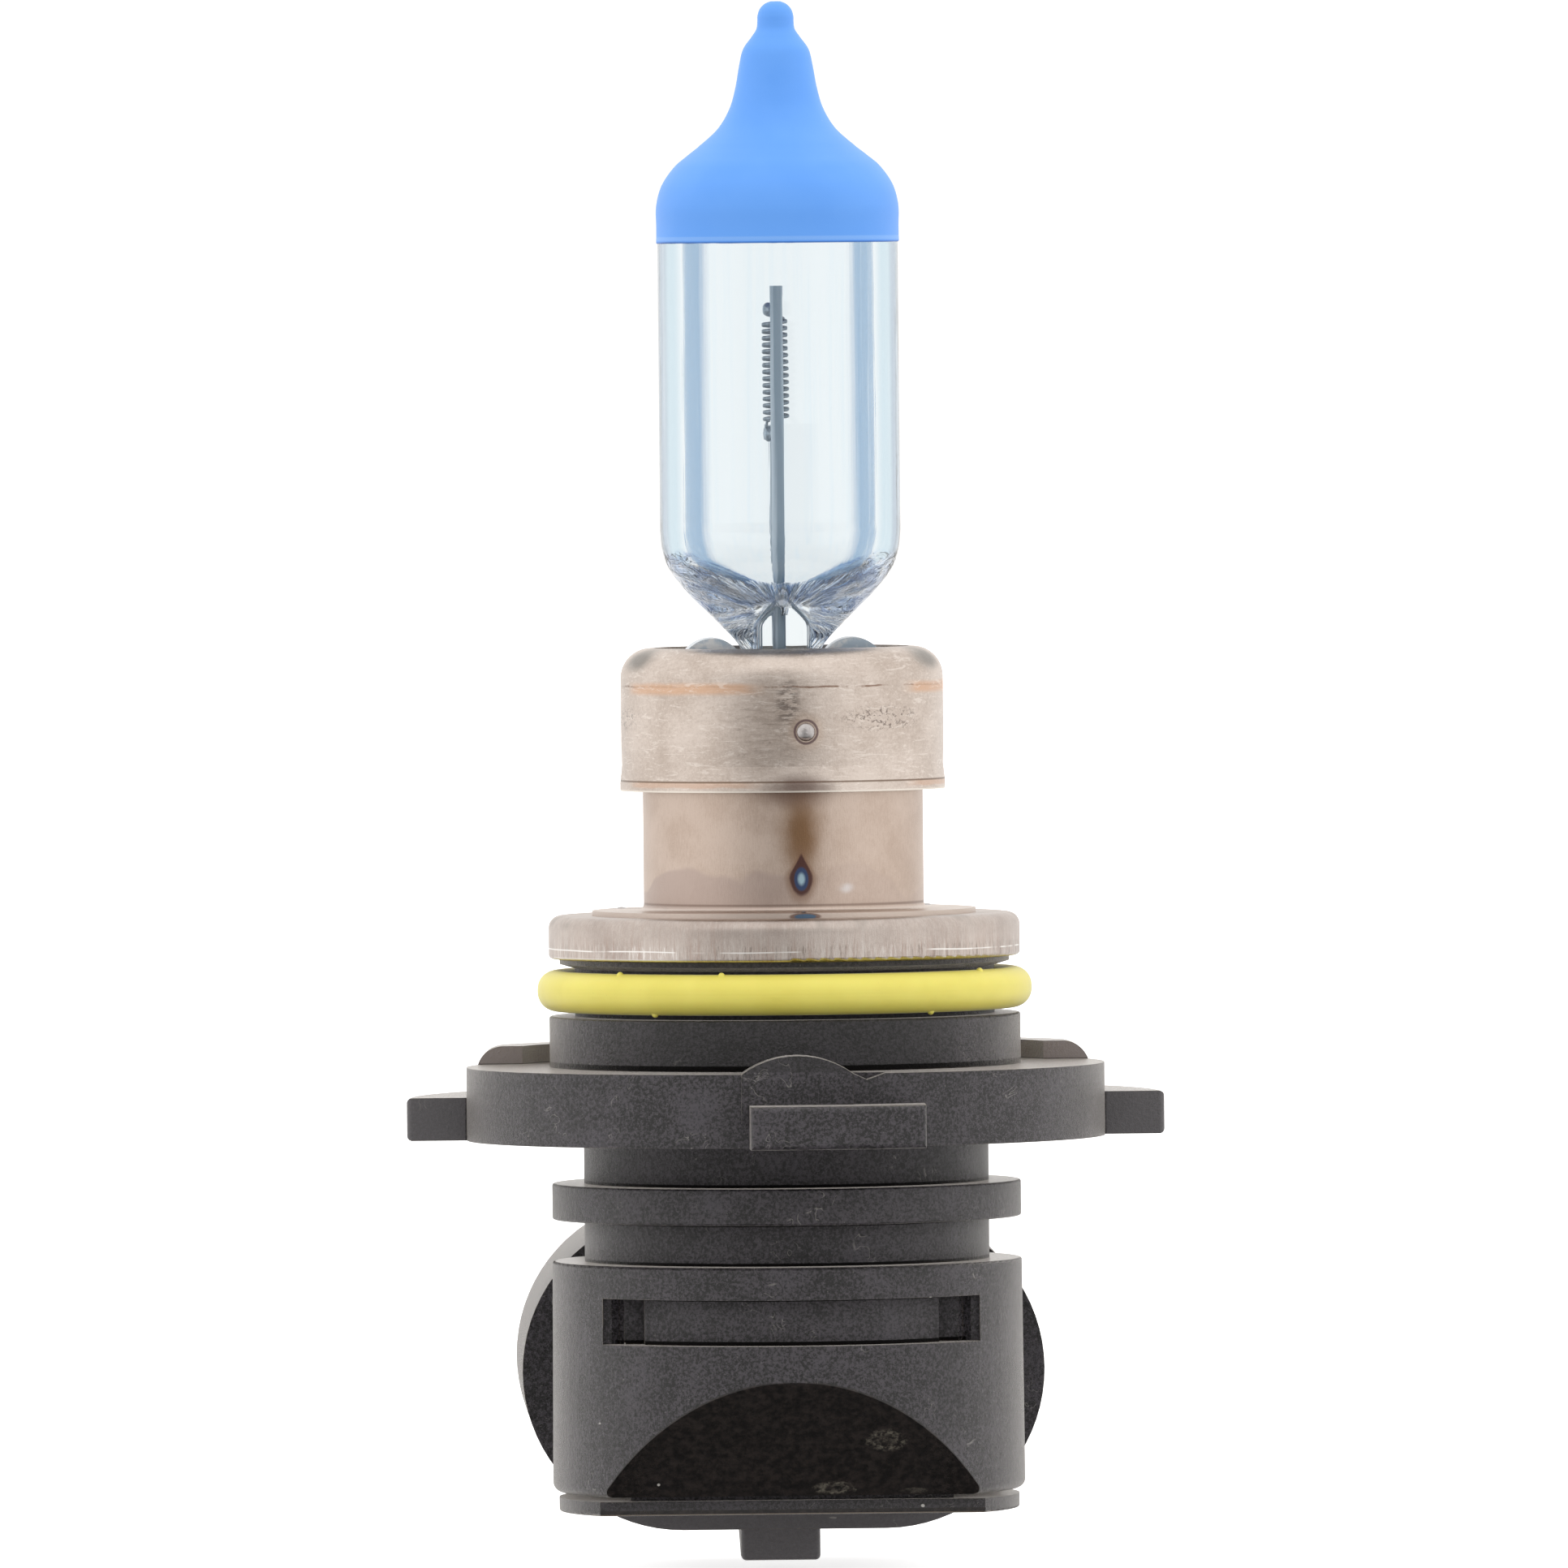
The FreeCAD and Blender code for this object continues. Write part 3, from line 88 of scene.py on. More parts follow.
class Graph:
    """A material's node tree, with its coordinates in millimetres."""

    def __init__(self, name):
        self.material = bpy.data.materials.new(name)
        self.material.use_nodes = True
        self.tree = self.material.node_tree
        self.shader = self.tree.nodes["Principled BSDF"]
        point = self.node("ShaderNodeTexCoord").outputs["Object"]
        self.point = self.vector_math("SCALE", point, 1 / MM)
        split = self.node("ShaderNodeSeparateXYZ", Vector=self.point)
        self.x, self.y, self.z = (Wire(self, out) for out in split.outputs)
        self.colour = None
        self.height = None

    def node(self, kind, **inputs):
        made = self.tree.nodes.new(kind)
        for name, value in inputs.items():
            self.join(value, made.inputs[name])
        return made

    def join(self, value, socket):
        if isinstance(value, Wire):
            value = value.socket
        if isinstance(value, bpy.types.NodeSocket):
            self.tree.links.new(value, socket)
        else:
            socket.default_value = value

    def calc(self, operation, *values):
        made = self.tree.nodes.new("ShaderNodeMath")
        made.operation = operation
        for value, socket in zip(values, made.inputs):
            self.join(value, socket)
        return Wire(self, made.outputs[0])

    def at_most_one(self, value):
        return self.calc("MINIMUM", value, 1.0)

    def length(self, across, along):
        return self.calc("SQRT", across * across + along * along)

    def from_axis(self):
        """Distance from the bulb's axis."""
        return self.length(self.x, self.y)

    def combine(self, *values):
        """A vector from three values."""
        made = self.tree.nodes.new("ShaderNodeCombineXYZ")
        for value, socket in zip(values, made.inputs):
            self.join(value, socket)
        return made.outputs[0]

    def vector_math(self, operation, vector, other):
        made = self.tree.nodes.new("ShaderNodeVectorMath")
        made.operation = operation
        self.join(vector, made.inputs[0])
        self.join(other, made.inputs["Scale" if operation == "SCALE" else 1])
        return made.outputs["Value" if operation == "DOT_PRODUCT" else "Vector"]

    def noise(self, scale, detail=2.0, rough=0.5, stretch=(1, 1, 1), at=None, twist=0.0):
        """Noise with this many waves to the millimetre, stretched along some axes."""
        where = self.vector_math("MULTIPLY", self.point if at is None else at, stretch)
        made = self.node("ShaderNodeTexNoise", Vector=where, Scale=scale, Detail=detail,
                         Roughness=rough, Distortion=twist)
        return Wire(self, made.outputs[0])

    def step(self, value, low, high):
        """0 at low and 1 at high, smooth in between; high may be the smaller of the two."""
        made = self.tree.nodes.new("ShaderNodeMapRange")
        made.interpolation_type = "SMOOTHSTEP"
        first, last = (1.0, 0.0) if low > high else (0.0, 1.0)
        for socket, number in zip(made.inputs, (value, min(low, high), max(low, high), first, last)):
            self.join(number, socket)
        return Wire(self, made.outputs[0])

    def band(self, value, middle, half, soft):
        """1 within half of the middle, falling to 0 over the soft width."""
        return self.step(abs(value - middle), half + soft, half)

    def mix(self, first, second, share):
        """From the first colour at 0 to the second at 1."""
        made = self.tree.nodes.new("ShaderNodeMix")
        made.data_type = "RGBA"
        self.join(share, made.inputs["Factor"])
        for value, socket in ((first, made.inputs[6]), (second, made.inputs[7])):
            self.join((*value, 1.0) if isinstance(value, tuple) else value, socket)
        return made.outputs[2]

    def paint(self, colour, share):
        """Lays a colour over the base colour."""
        self.colour = self.mix(self.colour, colour, share)

    def around(self, angle=0.0, every=360.0):
        """Degrees round the bulb's axis from the front, repeated."""
        turn = self.calc("ARCTAN2", self.x, self.y * -1.0) * math.degrees(1)
        return self.calc("WRAP", turn - angle, every / 2, -every / 2)

    def cylinder_point(self, radius):
        """The surface unrolled: arc length, height and depth."""
        return self.combine(self.arc(radius), self.z, self.from_axis())

    def arc(self, radius, angle=0.0, every=360.0):
        """Millimetres round the surface from an angle."""
        return self.around(angle, every) * math.radians(radius)

    def spot(self, across, up, half_wide, half_high):
        """Distance from a spot's middle, 1 on the rim of its ellipse."""
        return self.length(across / half_wide, up / half_high)

    def normal(self):
        return self.node("ShaderNodeNewGeometry").outputs["Normal"]

    def facing_up(self):
        """1 on level faces that look up."""
        return Wire(self, self.node("ShaderNodeSeparateXYZ", Vector=self.normal()).outputs[2])

    def slant(self):
        """0 where the surface is seen square on, 1 where it is seen edge-on."""
        return Wire(self, self.node("ShaderNodeLayerWeight", Blend=0.5).outputs["Facing"])

    def edge(self, width):
        """1 on convex and concave edges, from how the rounded normal leaves the real one."""
        made = self.node("ShaderNodeBevel", Radius=width * MM)
        made.samples = TRACED_SAMPLES
        same = Wire(self, self.vector_math("DOT_PRODUCT", made.outputs[0], self.normal()))
        return self.step(1.0 - same, 0.02, 0.25)

    def crevice(self, reach, low, high):
        """1 in corners and grooves."""
        made = self.node("ShaderNodeAmbientOcclusion", Distance=reach * MM)
        made.samples = TRACED_SAMPLES
        return 1.0 - self.step(Wire(self, made.outputs["AO"]), low, high)

    def bump(self, height, strength, depth):
        """Adds a bump on top of the ones that are there; depth in millimetres."""
        made = self.node("ShaderNodeBump", Height=height, Strength=strength, Distance=depth * MM)
        if self.height is not None:
            self.join(self.height, made.inputs["Normal"])
        self.height = made.outputs[0]
        self.join(self.height, self.shader.inputs["Normal"])

    def set(self, **inputs):
        for name, value in inputs.items():
            self.join(value, self.shader.inputs[name.replace("_", " ")])
        return self.material


def grey(level, warm=0.0):
    return (level * (1 + warm), level, level * (1 - warm))


# --- where things are: millimetres from the origin, and degrees round the axis from the front ---

CUP_RADIUS, SLEEVE_RADIUS, RIM_RADIUS, RING_RADIUS = 7.53, 6.54, 8.96, 11.0
THIRD = 120.0  # each set of welds goes round the axis in thirds
CUP_WELD, SLEEVE_WELD, RIM_WELD = 7.0, 5.8, 4.9
CUP_WELD_LEVEL, DROP_LEVEL, RIM_WELD_LEVEL = 14.8, 7.95, 6.27
HEAT_LINE, CUP_LIP = 16.9, 12.48
FLANGE_TOP, LUG_FOOT, COVER_TOP, COVER_FOOT = -0.80, -6.4, -20.90, -21.62
FRONT = -5.0  # what is farther forward than this is the base's front
SLOT_MIDDLE, SLOT_FOOT, SLOT_HEAD = -12.5, -13.50, -11.49
SLOPE_TOP_Y, SLOPE_TOP_Z, SLOPE_RUN = 10.96, -15.3, 4.41 / 5.4
COATING_RIM = 37.52
END_LEVEL = 21.6  # the glass is folded below this
# level, height and radius of the painted shadow lines round the base
FEET = [(-0.85, 0.24, 11.0), (-6.29, 0.12, 9.45), (-8.06, 0.05, 9.45), (-9.93, 0.12, 9.45),
        (-4.33, 0.05, 9.45)]
# marks on the plastic's front: middle, half width, half height, strength
GLUE = [(4.3, -18.05, 0.85, 0.48, 0.9), (1.9, -20.35, 0.85, 0.30, 0.9), (5.6, -20.5, 0.5, 0.14, 0.5)]
CRUMBS = [(-6.25, -20.1, 0.075, 0.07, 1.0), (6.05, -21.25, 0.10, 0.08, 1.0),
          (-8.95, -17.25, 0.06, 0.05, 0.7), (-7.75, -13.55, 0.05, 0.05, 0.8),
          (6.4, -11.45, 0.06, 0.04, 0.8)]

QUARTZ_IOR = 1.458
NYLON, NYLON_LIGHT = (0.0029, 0.00232, 0.00261), (0.0696, 0.0609, 0.0725)
SMUDGE = (0.30, 0.245, 0.21)


# --- materials ----------------------------------------------------------------------------------

def make_plastic(name):
    """Glass-filled nylon: a moulded grain, smoother flat ledges and worn edges, with painted shade and
    painted highlights.
    """
    g = Graph(name)
    cloud = g.noise(0.4, 3, 0.6)
    grain = g.noise(6.4, 3, 0.85)
    g.colour = g.mix(NYLON, NYLON_LIGHT, g.step(grain * 0.8 + cloud * 0.2, 0.43, 0.58))
    g.paint((0.075, 0.072, 0.09), g.step(cloud, 0.55, 0.75) * 0.2)
    specks = g.step(g.noise(11, 1, 0.5), 0.74, 0.80)
    g.paint(grey(0.26, 0.05), specks * 0.6)
    # painted light: the lock ramp, the rear pads and the side lugs are painted paler, for the light that
    # reaches them
    reach = g.from_axis()
    pads = g.step(g.z, FLANGE_TOP - 0.04, FLANGE_TOP) * g.step(reach, 12.3, 12.5) * g.step(g.y, 4.0, 4.1)
    lugs = g.step(reach, 14.95, 15.0) * g.step(g.y, -0.2, -0.1) * g.step(g.z, LUG_FOOT - 0.1, LUG_FOOT)
    ramp = g.step(g.z, COVER_FOOT, COVER_FOOT - 0.1)
    g.paint((0.125, 0.118, 0.125), g.at_most_one(lugs + ramp * 0.95) * 0.8)
    g.paint((0.36, 0.315, 0.31), pads * 0.85)
    # pale fibres and hair scratches
    ridge = abs(g.noise(0.9, 2, 0.5, twist=1.2) - 0.5)
    fibres = g.step(ridge, 0.012, 0.004) * g.step(g.noise(0.45, 2, 0.5), 0.60, 0.66)
    g.paint((0.34, 0.32, 0.30), fibres * 0.55)
    # painted shade in the corners, less of it in the slot, and painted shadow lines along the steps
    pocket = g.band(g.z, SLOT_MIDDLE, 0.98, 0.05) * g.step(g.y, FRONT, FRONT - 0.2)
    corner_shade = g.crevice(0.18, 0.2, 0.7) * (1.0 - pocket * 0.85)
    g.paint((0.007, 0.006, 0.0055), corner_shade * 0.8)
    lines = shadow_lines(g)
    g.paint((0.003, 0.0025, 0.0025), lines)
    # edges are rubbed at the sides and on the lugs, hardly in the middle of the front
    open_sides = g.step(abs(g.x), 4.5, 9.0) + g.step(reach, 15.2, 15.6) + g.step(g.y, -4.0, 0.0)
    near = g.edge(0.12) * (0.2 + g.at_most_one(open_sides) * 0.8)
    worn = near * g.step(g.noise(1.3, 4, 0.75), 0.42, 0.64) * (1.0 - corner_shade)
    g.paint((0.075, 0.058, 0.04), near * 0.4)
    g.paint((0.24, 0.20, 0.165), worn * 0.6)
    # the cover is a little darker
    cover = g.step(g.z, COVER_TOP, COVER_TOP - 0.05) * (1.0 - ramp)
    g.paint((0.012, 0.010, 0.010), cover * 0.4)
    # painted highlight: a pale line along the cover's lower front edge
    edge_highlight = g.band(g.z, COVER_FOOT + 0.05, 0.02, 0.03) * g.step(g.y, FRONT, FRONT - 0.4)
    g.paint((0.42, 0.35, 0.28), edge_highlight * 0.8)
    # painted sheen: paler where the moulding is seen at a slant
    g.paint((0.27, 0.255, 0.25), g.step(g.slant(), 0.45, 0.95) * (1.0 - lines) * 0.4)
    # the sloping face under the front is darker and smoother
    slope = g.band(g.y + SLOPE_TOP_Y - (SLOPE_TOP_Z - g.z) * SLOPE_RUN, 0.0, 0.04, 0.05)
    slope = slope * g.step(g.z, SLOPE_TOP_Z + 0.1, SLOPE_TOP_Z - 0.05)
    smooth = g.step(g.noise(2.5, 4, 0.7), 0.35, 0.7)
    g.paint(g.mix((0.007, 0.0055, 0.005), (0.034, 0.026, 0.023), smooth), slope * 0.95)
    glue_marks(g, slope)
    # painted highlight on the ledges at the sides, and painted shade on the ledges in the middle of the
    # front, under the steps
    ledge = g.step(g.facing_up(), 0.90, 0.98)
    sides = g.step(abs(g.x), 5.5, 9.5)
    g.paint((0.30, 0.24, 0.19), ledge * sides * g.step(g.z, FLANGE_TOP, FLANGE_TOP - 0.04) * 0.55)
    hidden = g.calc("MAXIMUM", 1.0 - sides, g.step(g.z, -20.0, -20.2))
    ledge_shade = ledge * hidden * g.step(g.y, -3.0, -5.0) * g.step(g.z, -0.5, -0.6) * g.step(reach, 15.0, 14.8)
    g.paint((0.003, 0.0025, 0.0022), ledge_shade * 0.95)
    # painted shadow of the ring on the middle of the moulding above the flange
    shade = g.step(g.z, FLANGE_TOP, FLANGE_TOP + 0.1) * (1.0 - sides)
    g.paint((0.004, 0.0035, 0.003), shade * 0.5)
    g.bump(g.noise(5.5, 5, 0.8), 1.0 - slope * 0.6 - ledge * 0.7, 0.05)
    rough = 0.27 + grain * 0.14 - worn * 0.05 - ledge * 0.16 - slope * 0.04 - sides * 0.09 + ledge_shade * 0.3
    # a little metal takes the gloss off the painted shadow lines, the painted ledge shade and the sloping
    # face
    dull = g.at_most_one(lines * 0.9 + slope * 0.12 + ledge_shade * 0.8)
    return g.set(Base_Color=g.colour, Roughness=rough, Metallic=dull, Specular_IOR_Level=0.58,
                 Sheen_Weight=0.95, Sheen_Roughness=0.18, Sheen_Tint=(1.0, 0.94, 0.89, 1.0))


def shadow_lines(g):
    """Painted shadow lines along the foot of each step and along the slot's edges."""
    warp = (g.noise(1.5, 3, 0.7) - 0.5) * 0.05
    level, reach = g.z + warp, g.from_axis()
    total = 0.0
    for foot, height, radius in FEET:
        line = g.band(level, foot + height / 2, height / 2, 0.05)
        total = line * g.step(reach, radius + 0.08, radius + 0.03) + total
    front = g.step(g.y, FRONT, FRONT - 0.2) * g.step(reach, 10.25, 10.1) * g.step(abs(g.x), 8.85, 8.8)
    slot = g.band(level, SLOT_FOOT, 0.09, 0.03) + g.band(level, SLOT_HEAD, 0.025, 0.03)
    return g.at_most_one(total + slot * front)


def glue_marks(g, slope):
    """Dull smears and white crumbs on the sloping face and round it."""
    warp = (g.noise(2.2, 4, 0.8) - 0.5) * 1.6
    ragged = g.step(g.noise(4.5, 3, 0.8), 0.42, 0.60)
    for x, z, wide, high, strength in GLUE:
        spot = g.spot(g.x - x + warp, g.z - z, wide, high) + warp * 0.3
        rim = g.band(spot, 0.85, 0.1, 0.25) * 0.6 + g.step(spot, 1.0, 0.7) * 0.5
        g.paint((0.17, 0.155, 0.125), rim * ragged * slope * strength)
    for x, z, wide, high, strength in CRUMBS:
        spot = g.spot(g.x - x + warp * 0.05, g.z - z, wide, high)
        g.paint((0.55, 0.53, 0.50), g.step(spot, 1.1, 0.7) * strength)


def make_metal(name, dark, light, radius, grain):
    """Plated sheet with a drawn grain; returns the graph and the unrolled surface, for its marks."""
    g = Graph(name)
    flat = g.cylinder_point(radius)
    cloud = g.noise(0.35, 4, 0.6, at=flat)
    lines = g.noise(3.0, 4, 0.7, stretch=grain, at=flat)
    fine = g.noise(14, 3, 0.7, at=flat)
    g.colour = g.mix(dark, light, g.step(cloud * 0.5 + lines * 0.3 + fine * 0.2, 0.36, 0.62))
    g.bump(lines, 0.5, 0.02)
    g.bump(fine, 0.5, 0.01)
    g.set(Metallic=1.0, Roughness=0.34 + (cloud - 0.5) * 0.2 + (fine - 0.5) * 0.2, Anisotropic=0.3)
    return g, flat


def make_cup_metal():
    """The cup: a heat line, smudges and scores round each weld, and a rolled lip."""
    g, flat = make_metal("cup_metal", (0.50, 0.42, 0.365), (0.69, 0.605, 0.545), CUP_RADIUS,
                         grain=(2.5, 2.5, 1))
    warp = g.noise(0.8, 3, 0.6, at=flat) - 0.5
    level = g.z + warp * 0.18
    weld = g.arc(CUP_RADIUS, CUP_WELD, THIRD)
    # heat line left by the clip's edge, broad and pale left of each weld, thin and dark right of it
    left = g.arc(CUP_RADIUS, -40.0, THIRD)
    broad = g.step(abs(left + warp), 4.6, 3.0)
    g.paint((0.66, 0.42, 0.28), g.band(level, HEAT_LINE - 0.1, 0.10, 0.28) * broad * 0.8)
    broken = g.step(g.noise(0.9, 3, 0.7, at=flat, stretch=(1, 0.1, 1)), 0.38, 0.56)
    thin = broken * (1.0 - broad * 0.75)
    g.paint((0.20, 0.11, 0.07), g.band(level, HEAT_LINE, 0.015, 0.05) * thin * 0.85)
    # smudges and hatched scratches
    hatch = g.step(g.noise(1.5, 3, 0.7, at=flat, stretch=(1, 4.2, 1), twist=0.2), 0.46, 0.56)
    dark = g.step(g.spot(weld + 0.85 + warp * 0.5, g.z - 16.1, 0.6, 1.3), 1.25, 0.3)
    g.paint((0.12, 0.10, 0.09), dark * hatch * 0.8)
    wide = g.step(g.spot(weld + 1.6, g.z - CUP_WELD_LEVEL, 2.6, 2.6), 1.2, 0.2)
    g.paint(SMUDGE, wide * (0.25 + hatch * 0.2))
    # fine buffing marks that curve across the sheet
    buffed = g.noise(1.1, 4, 0.75, at=flat, stretch=(0.8, 4, 1), twist=1.2)
    g.paint((0.90, 0.83, 0.77), g.step(buffed, 0.55, 0.63) * 0.35)
    g.paint(SMUDGE, g.step(buffed, 0.43, 0.35) * (0.15 + wide * 0.4))
    scores = g.step(g.noise(1.4, 3, 0.7, at=flat, stretch=(2.5, 3.5, 1), twist=1.5), 0.54, 0.60)
    far = g.step(g.spot(g.arc(CUP_RADIUS, 38.0, THIRD), g.z - 15.4, 2.4, 0.6), 1.3, 0.5)
    g.paint((0.16, 0.13, 0.115), scores * far * 0.75)
    # grey shadows on the shoulder at both sides
    side = g.arc(CUP_RADIUS, 68.0, 137.0)
    corner = g.step(g.spot(side + warp, g.z - 18.15, 1.5, 0.55), 1.4, 0.3)
    g.paint((0.19, 0.18, 0.165), corner * 0.8)
    # ring of temper colour round each weld nugget
    ring = g.spot(weld, g.z - CUP_WELD_LEVEL, 1.0, 1.0) + warp * 0.1
    g.paint((0.50, 0.37, 0.28), g.step(ring, 1.1, 0.5) * 0.4)
    g.paint((0.13, 0.085, 0.09), g.band(ring, 0.53, 0.025, 0.06) * 0.85)
    # rolled lip: a dark line above, a brown stain at each weld, a rubbed edge below
    g.paint((0.62, 0.39, 0.27), g.band(level, 12.35, 0.08, 0.12) * broad * 0.5)
    g.paint((0.17, 0.115, 0.08), g.band(g.z, CUP_LIP, 0.015, 0.05) * 0.85)
    stain = g.step(g.spot(weld + 0.3 + warp, g.z - 12.2, 1.7, 0.75), 1.2, 0.2)
    g.paint((0.12, 0.07, 0.055), stain * 0.75)
    g.paint((0.85, 0.80, 0.72), g.band(g.z, 12.02, 0.03, 0.05) * 0.7)
    return g.set(Base_Color=g.colour)


def make_sleeve_metal():
    """The sleeve: mauve patches, and a drop of temper colour at each weld under a brown run."""
    g, flat = make_metal("sleeve_metal", (0.47, 0.365, 0.30), (0.60, 0.49, 0.42), SLEEVE_RADIUS,
                         grain=(8, 1, 1))
    warp = g.noise(0.9, 3, 0.6, at=flat) - 0.5
    arc = g.arc(SLEEVE_RADIUS, SLEEVE_WELD, THIRD)
    # mauve patches low down, stronger on one side
    outline = g.noise(0.16, 2, 0.5, at=flat, stretch=(1.3, 1, 1)) * 3.0 - (g.z - 7.0) * 0.55
    patch = g.step(outline, 1.0, 1.15) * g.step(g.z, 9.6, 8.2)
    g.paint((0.42, 0.33, 0.30), patch * (0.2 + g.step(g.x, 1.5, -1.0) * 0.4))
    # brown run of heat colour down from the cup to the weld
    run = g.spot(arc + warp * 0.5, g.z - 10.2, 1.35, 2.9)
    g.paint((0.25, 0.145, 0.075), g.step(run, 1.15, 0.1) * 0.78)
    # darker brown just under the cup's lip
    under = g.spot(arc + 0.3 + warp * 0.6, g.z - 12.1, 2.4, 1.1)
    g.paint((0.15, 0.085, 0.06), g.step(under, 1.1, 0.2) * 0.75)
    neck = g.spot(arc + warp * 0.5, g.z - 9.9, 0.85, 2.0)
    g.paint((0.19, 0.10, 0.045), g.step(neck, 1.1, 0.2) * 0.65)
    # the weld's drop of temper colour, narrower towards its top
    narrow = 0.54 - g.step(g.z, DROP_LEVEL, 9.1) * 0.36
    drop = g.spot(arc / narrow, g.z - 8.12, 1.0, 0.95) + warp * 0.25
    g.paint((0.24, 0.14, 0.09), g.step(drop, 1.7, 1.0) * 0.6)
    g.paint((0.075, 0.035, 0.035), g.step(drop, 1.12, 0.9) * 0.88)
    core = g.spot(arc, g.z - DROP_LEVEL, 0.34, 0.56) + warp * 0.15
    g.paint((0.055, 0.085, 0.17), g.step(core, 1.1, 0.85) * 0.95)
    g.paint((0.40, 0.56, 0.64), g.step(core, 0.7, 0.25) * 0.9)
    # temper colour over the flange weld, on the rim
    g.paint((0.68, 0.60, 0.54), g.step(g.z, 6.62, 6.5) * 0.7)
    rim = g.spot(g.arc(RIM_RADIUS, RIM_WELD, THIRD), g.z - RIM_WELD_LEVEL, 0.72, 0.17)
    g.paint((0.14, 0.07, 0.05), g.step(rim, 1.15, 0.9) * 0.75)
    g.paint((0.09, 0.17, 0.27), g.step(rim, 0.8, 0.6) * 0.9)
    # a pale smear right of the front weld, and a dark line along the foot
    smear = g.spot(g.arc(SLEEVE_RADIUS, 25.0) + warp, g.z - 7.5, 0.5, 0.28)
    g.paint((0.75, 0.74, 0.76), g.step(smear, 1.2, 0.2) * 0.55)
    g.paint((0.22, 0.16, 0.13), g.band(g.z, 6.72, 0.02, 0.08) * 0.7)
    return g.set(Base_Color=g.colour)


def make_ring_metal():
    """The cap ring: upright drawing marks, and bright and dark strokes round its lower half, the bright
    ones scratches with painted highlights.
    """
    g, flat = make_metal("cap_ring_metal", (0.43, 0.365, 0.33), (0.60, 0.53, 0.485), RING_RADIUS,
                         grain=(7, 1, 1))
    upright = g.noise(2.6, 4, 0.8, at=flat, stretch=(2.2, 0.15, 1))
    upper = 0.35 + g.step(g.z, 5.5, 4.9) * 0.65
    g.paint((0.42, 0.31, 0.265), g.step(upright, 0.50, 0.38) * upper * 0.5)
    g.paint((0.76, 0.72, 0.68), g.step(upright, 0.53, 0.64) * upper * 0.35)
    strokes = g.noise(2.2, 4, 0.75, at=flat, stretch=(3.2, 0.35, 1))
    low = g.band(g.z, 4.62, 0.22, 0.22)
    patches = g.noise(0.13, 2, 0.5, at=flat, stretch=(1, 0.05, 1))
    dark, bright = g.step(strokes, 0.50, 0.40), g.step(strokes, 0.50, 0.66)
    g.paint((0.20, 0.16, 0.135), low * dark * g.step(patches, 0.55, 0.45) * 0.5)
    # painted highlights: the bright strokes
    g.paint((0.92, 0.89, 0.86), low * bright * g.step(patches, 0.46, 0.58) * 0.6)
    # bright broken lines round the ring, scratches with painted highlights, and dull smudges near its top
    line = g.band(g.z + (g.noise(0.2, 1, at=flat) - 0.5) * 0.15, 4.68, 0.012, 0.035)
    g.paint((0.95, 0.93, 0.9), line * g.step(g.noise(0.25, 3, 0.6, at=flat), 0.42, 0.5) * 0.85)
    g.paint((0.95, 0.92, 0.88), g.band(g.z, 4.3, 0.02, 0.05) * g.step(patches, 0.4, 0.6) * 0.8)
    smudge = g.step(g.noise(0.35, 3, 0.6, at=flat), 0.52, 0.66) * g.step(g.z, 5.45, 5.95)
    g.paint((0.33, 0.29, 0.26), smudge * 0.6)
    return g.set(Base_Color=g.colour)


def make_bead_metal():
    g = Graph("weld_bead_metal")
    tone = g.noise(5, 3)
    g.bump(g.noise(9, 2), 0.4, 0.02)
    return g.set(Base_Color=g.mix((0.35, 0.32, 0.31), (0.62, 0.6, 0.6), tone),
                 Metallic=1.0, Roughness=0.22)


def make_clip_steel():
    g = Graph("clip_steel")
    tone = g.step(g.noise(1.2, 4, 0.6), 0.40, 0.60)
    g.bump(g.noise(8, 3), 0.4, 0.01)
    return g.set(Base_Color=g.mix((0.50, 0.60, 0.70), (0.84, 0.86, 0.88), tone),
                 Metallic=0.7, Roughness=0.3)


def make_wire_metal(name, dark, light):
    g = Graph(name)
    tone = g.step(g.noise(1.3, 2, 0.5, stretch=(2, 2, 0.04)), 0.35, 0.65)
    g.bump(tone, 0.5, 0.01)
    return g.set(Base_Color=g.mix(dark, light, tone), Metallic=0.6, Roughness=0.45)


def make_rubber():
    g = Graph("yellow_rubber")
    cloud = g.noise(0.5, 3, 0.5)
    dust = g.step(g.noise(11, 1), 0.76, 0.84)
    g.colour = g.mix((0.89, 0.79, 0.15), (0.94, 0.84, 0.175), g.step(cloud, 0.3, 0.7))
    g.paint((0.30, 0.24, 0.07), dust * 0.3)
    g.bump(g.noise(12, 3), 0.3, 0.01)
    return g.set(Base_Color=g.colour, Roughness=0.42 + cloud * 0.1,
                 Sheen_Weight=0.3, Sheen_Roughness=0.3, Subsurface_Weight=0.15,
                 Subsurface_Radius=(0.001, 0.0007, 0.0002), Subsurface_Scale=0.5)


def make_coating():
    g = Graph("blue_coating")
    cloud = g.noise(0.4, 3, 0.5)
    dust = g.step(g.noise(7, 1), 0.80, 0.86)
    g.colour = g.mix((0.125, 0.37, 0.94), (0.14, 0.39, 0.96), g.step(cloud, 0.3, 0.7))
    g.paint((0.45, 0.6, 0.97), dust * 0.35)
    # the rim: a dark wet line with a paler one above it
    g.paint((0.04, 0.16, 0.60), g.band(g.z, COATING_RIM, 0.035, 0.04) * 0.8)
    g.paint((0.30, 0.54, 0.98), g.band(g.z, COATING_RIM + 0.2, 0.05, 0.08) * 0.5)
    g.bump(g.noise(10, 3), 0.3, 0.01)
    # painted light: a faint blue glow, for light shining through the coating
    return g.set(Base_Color=g.colour, Roughness=0.42 + cloud * 0.1, Specular_IOR_Level=0.35,
                 Emission_Color=(0.13, 0.38, 1.0, 1.0), Emission_Strength=0.12)


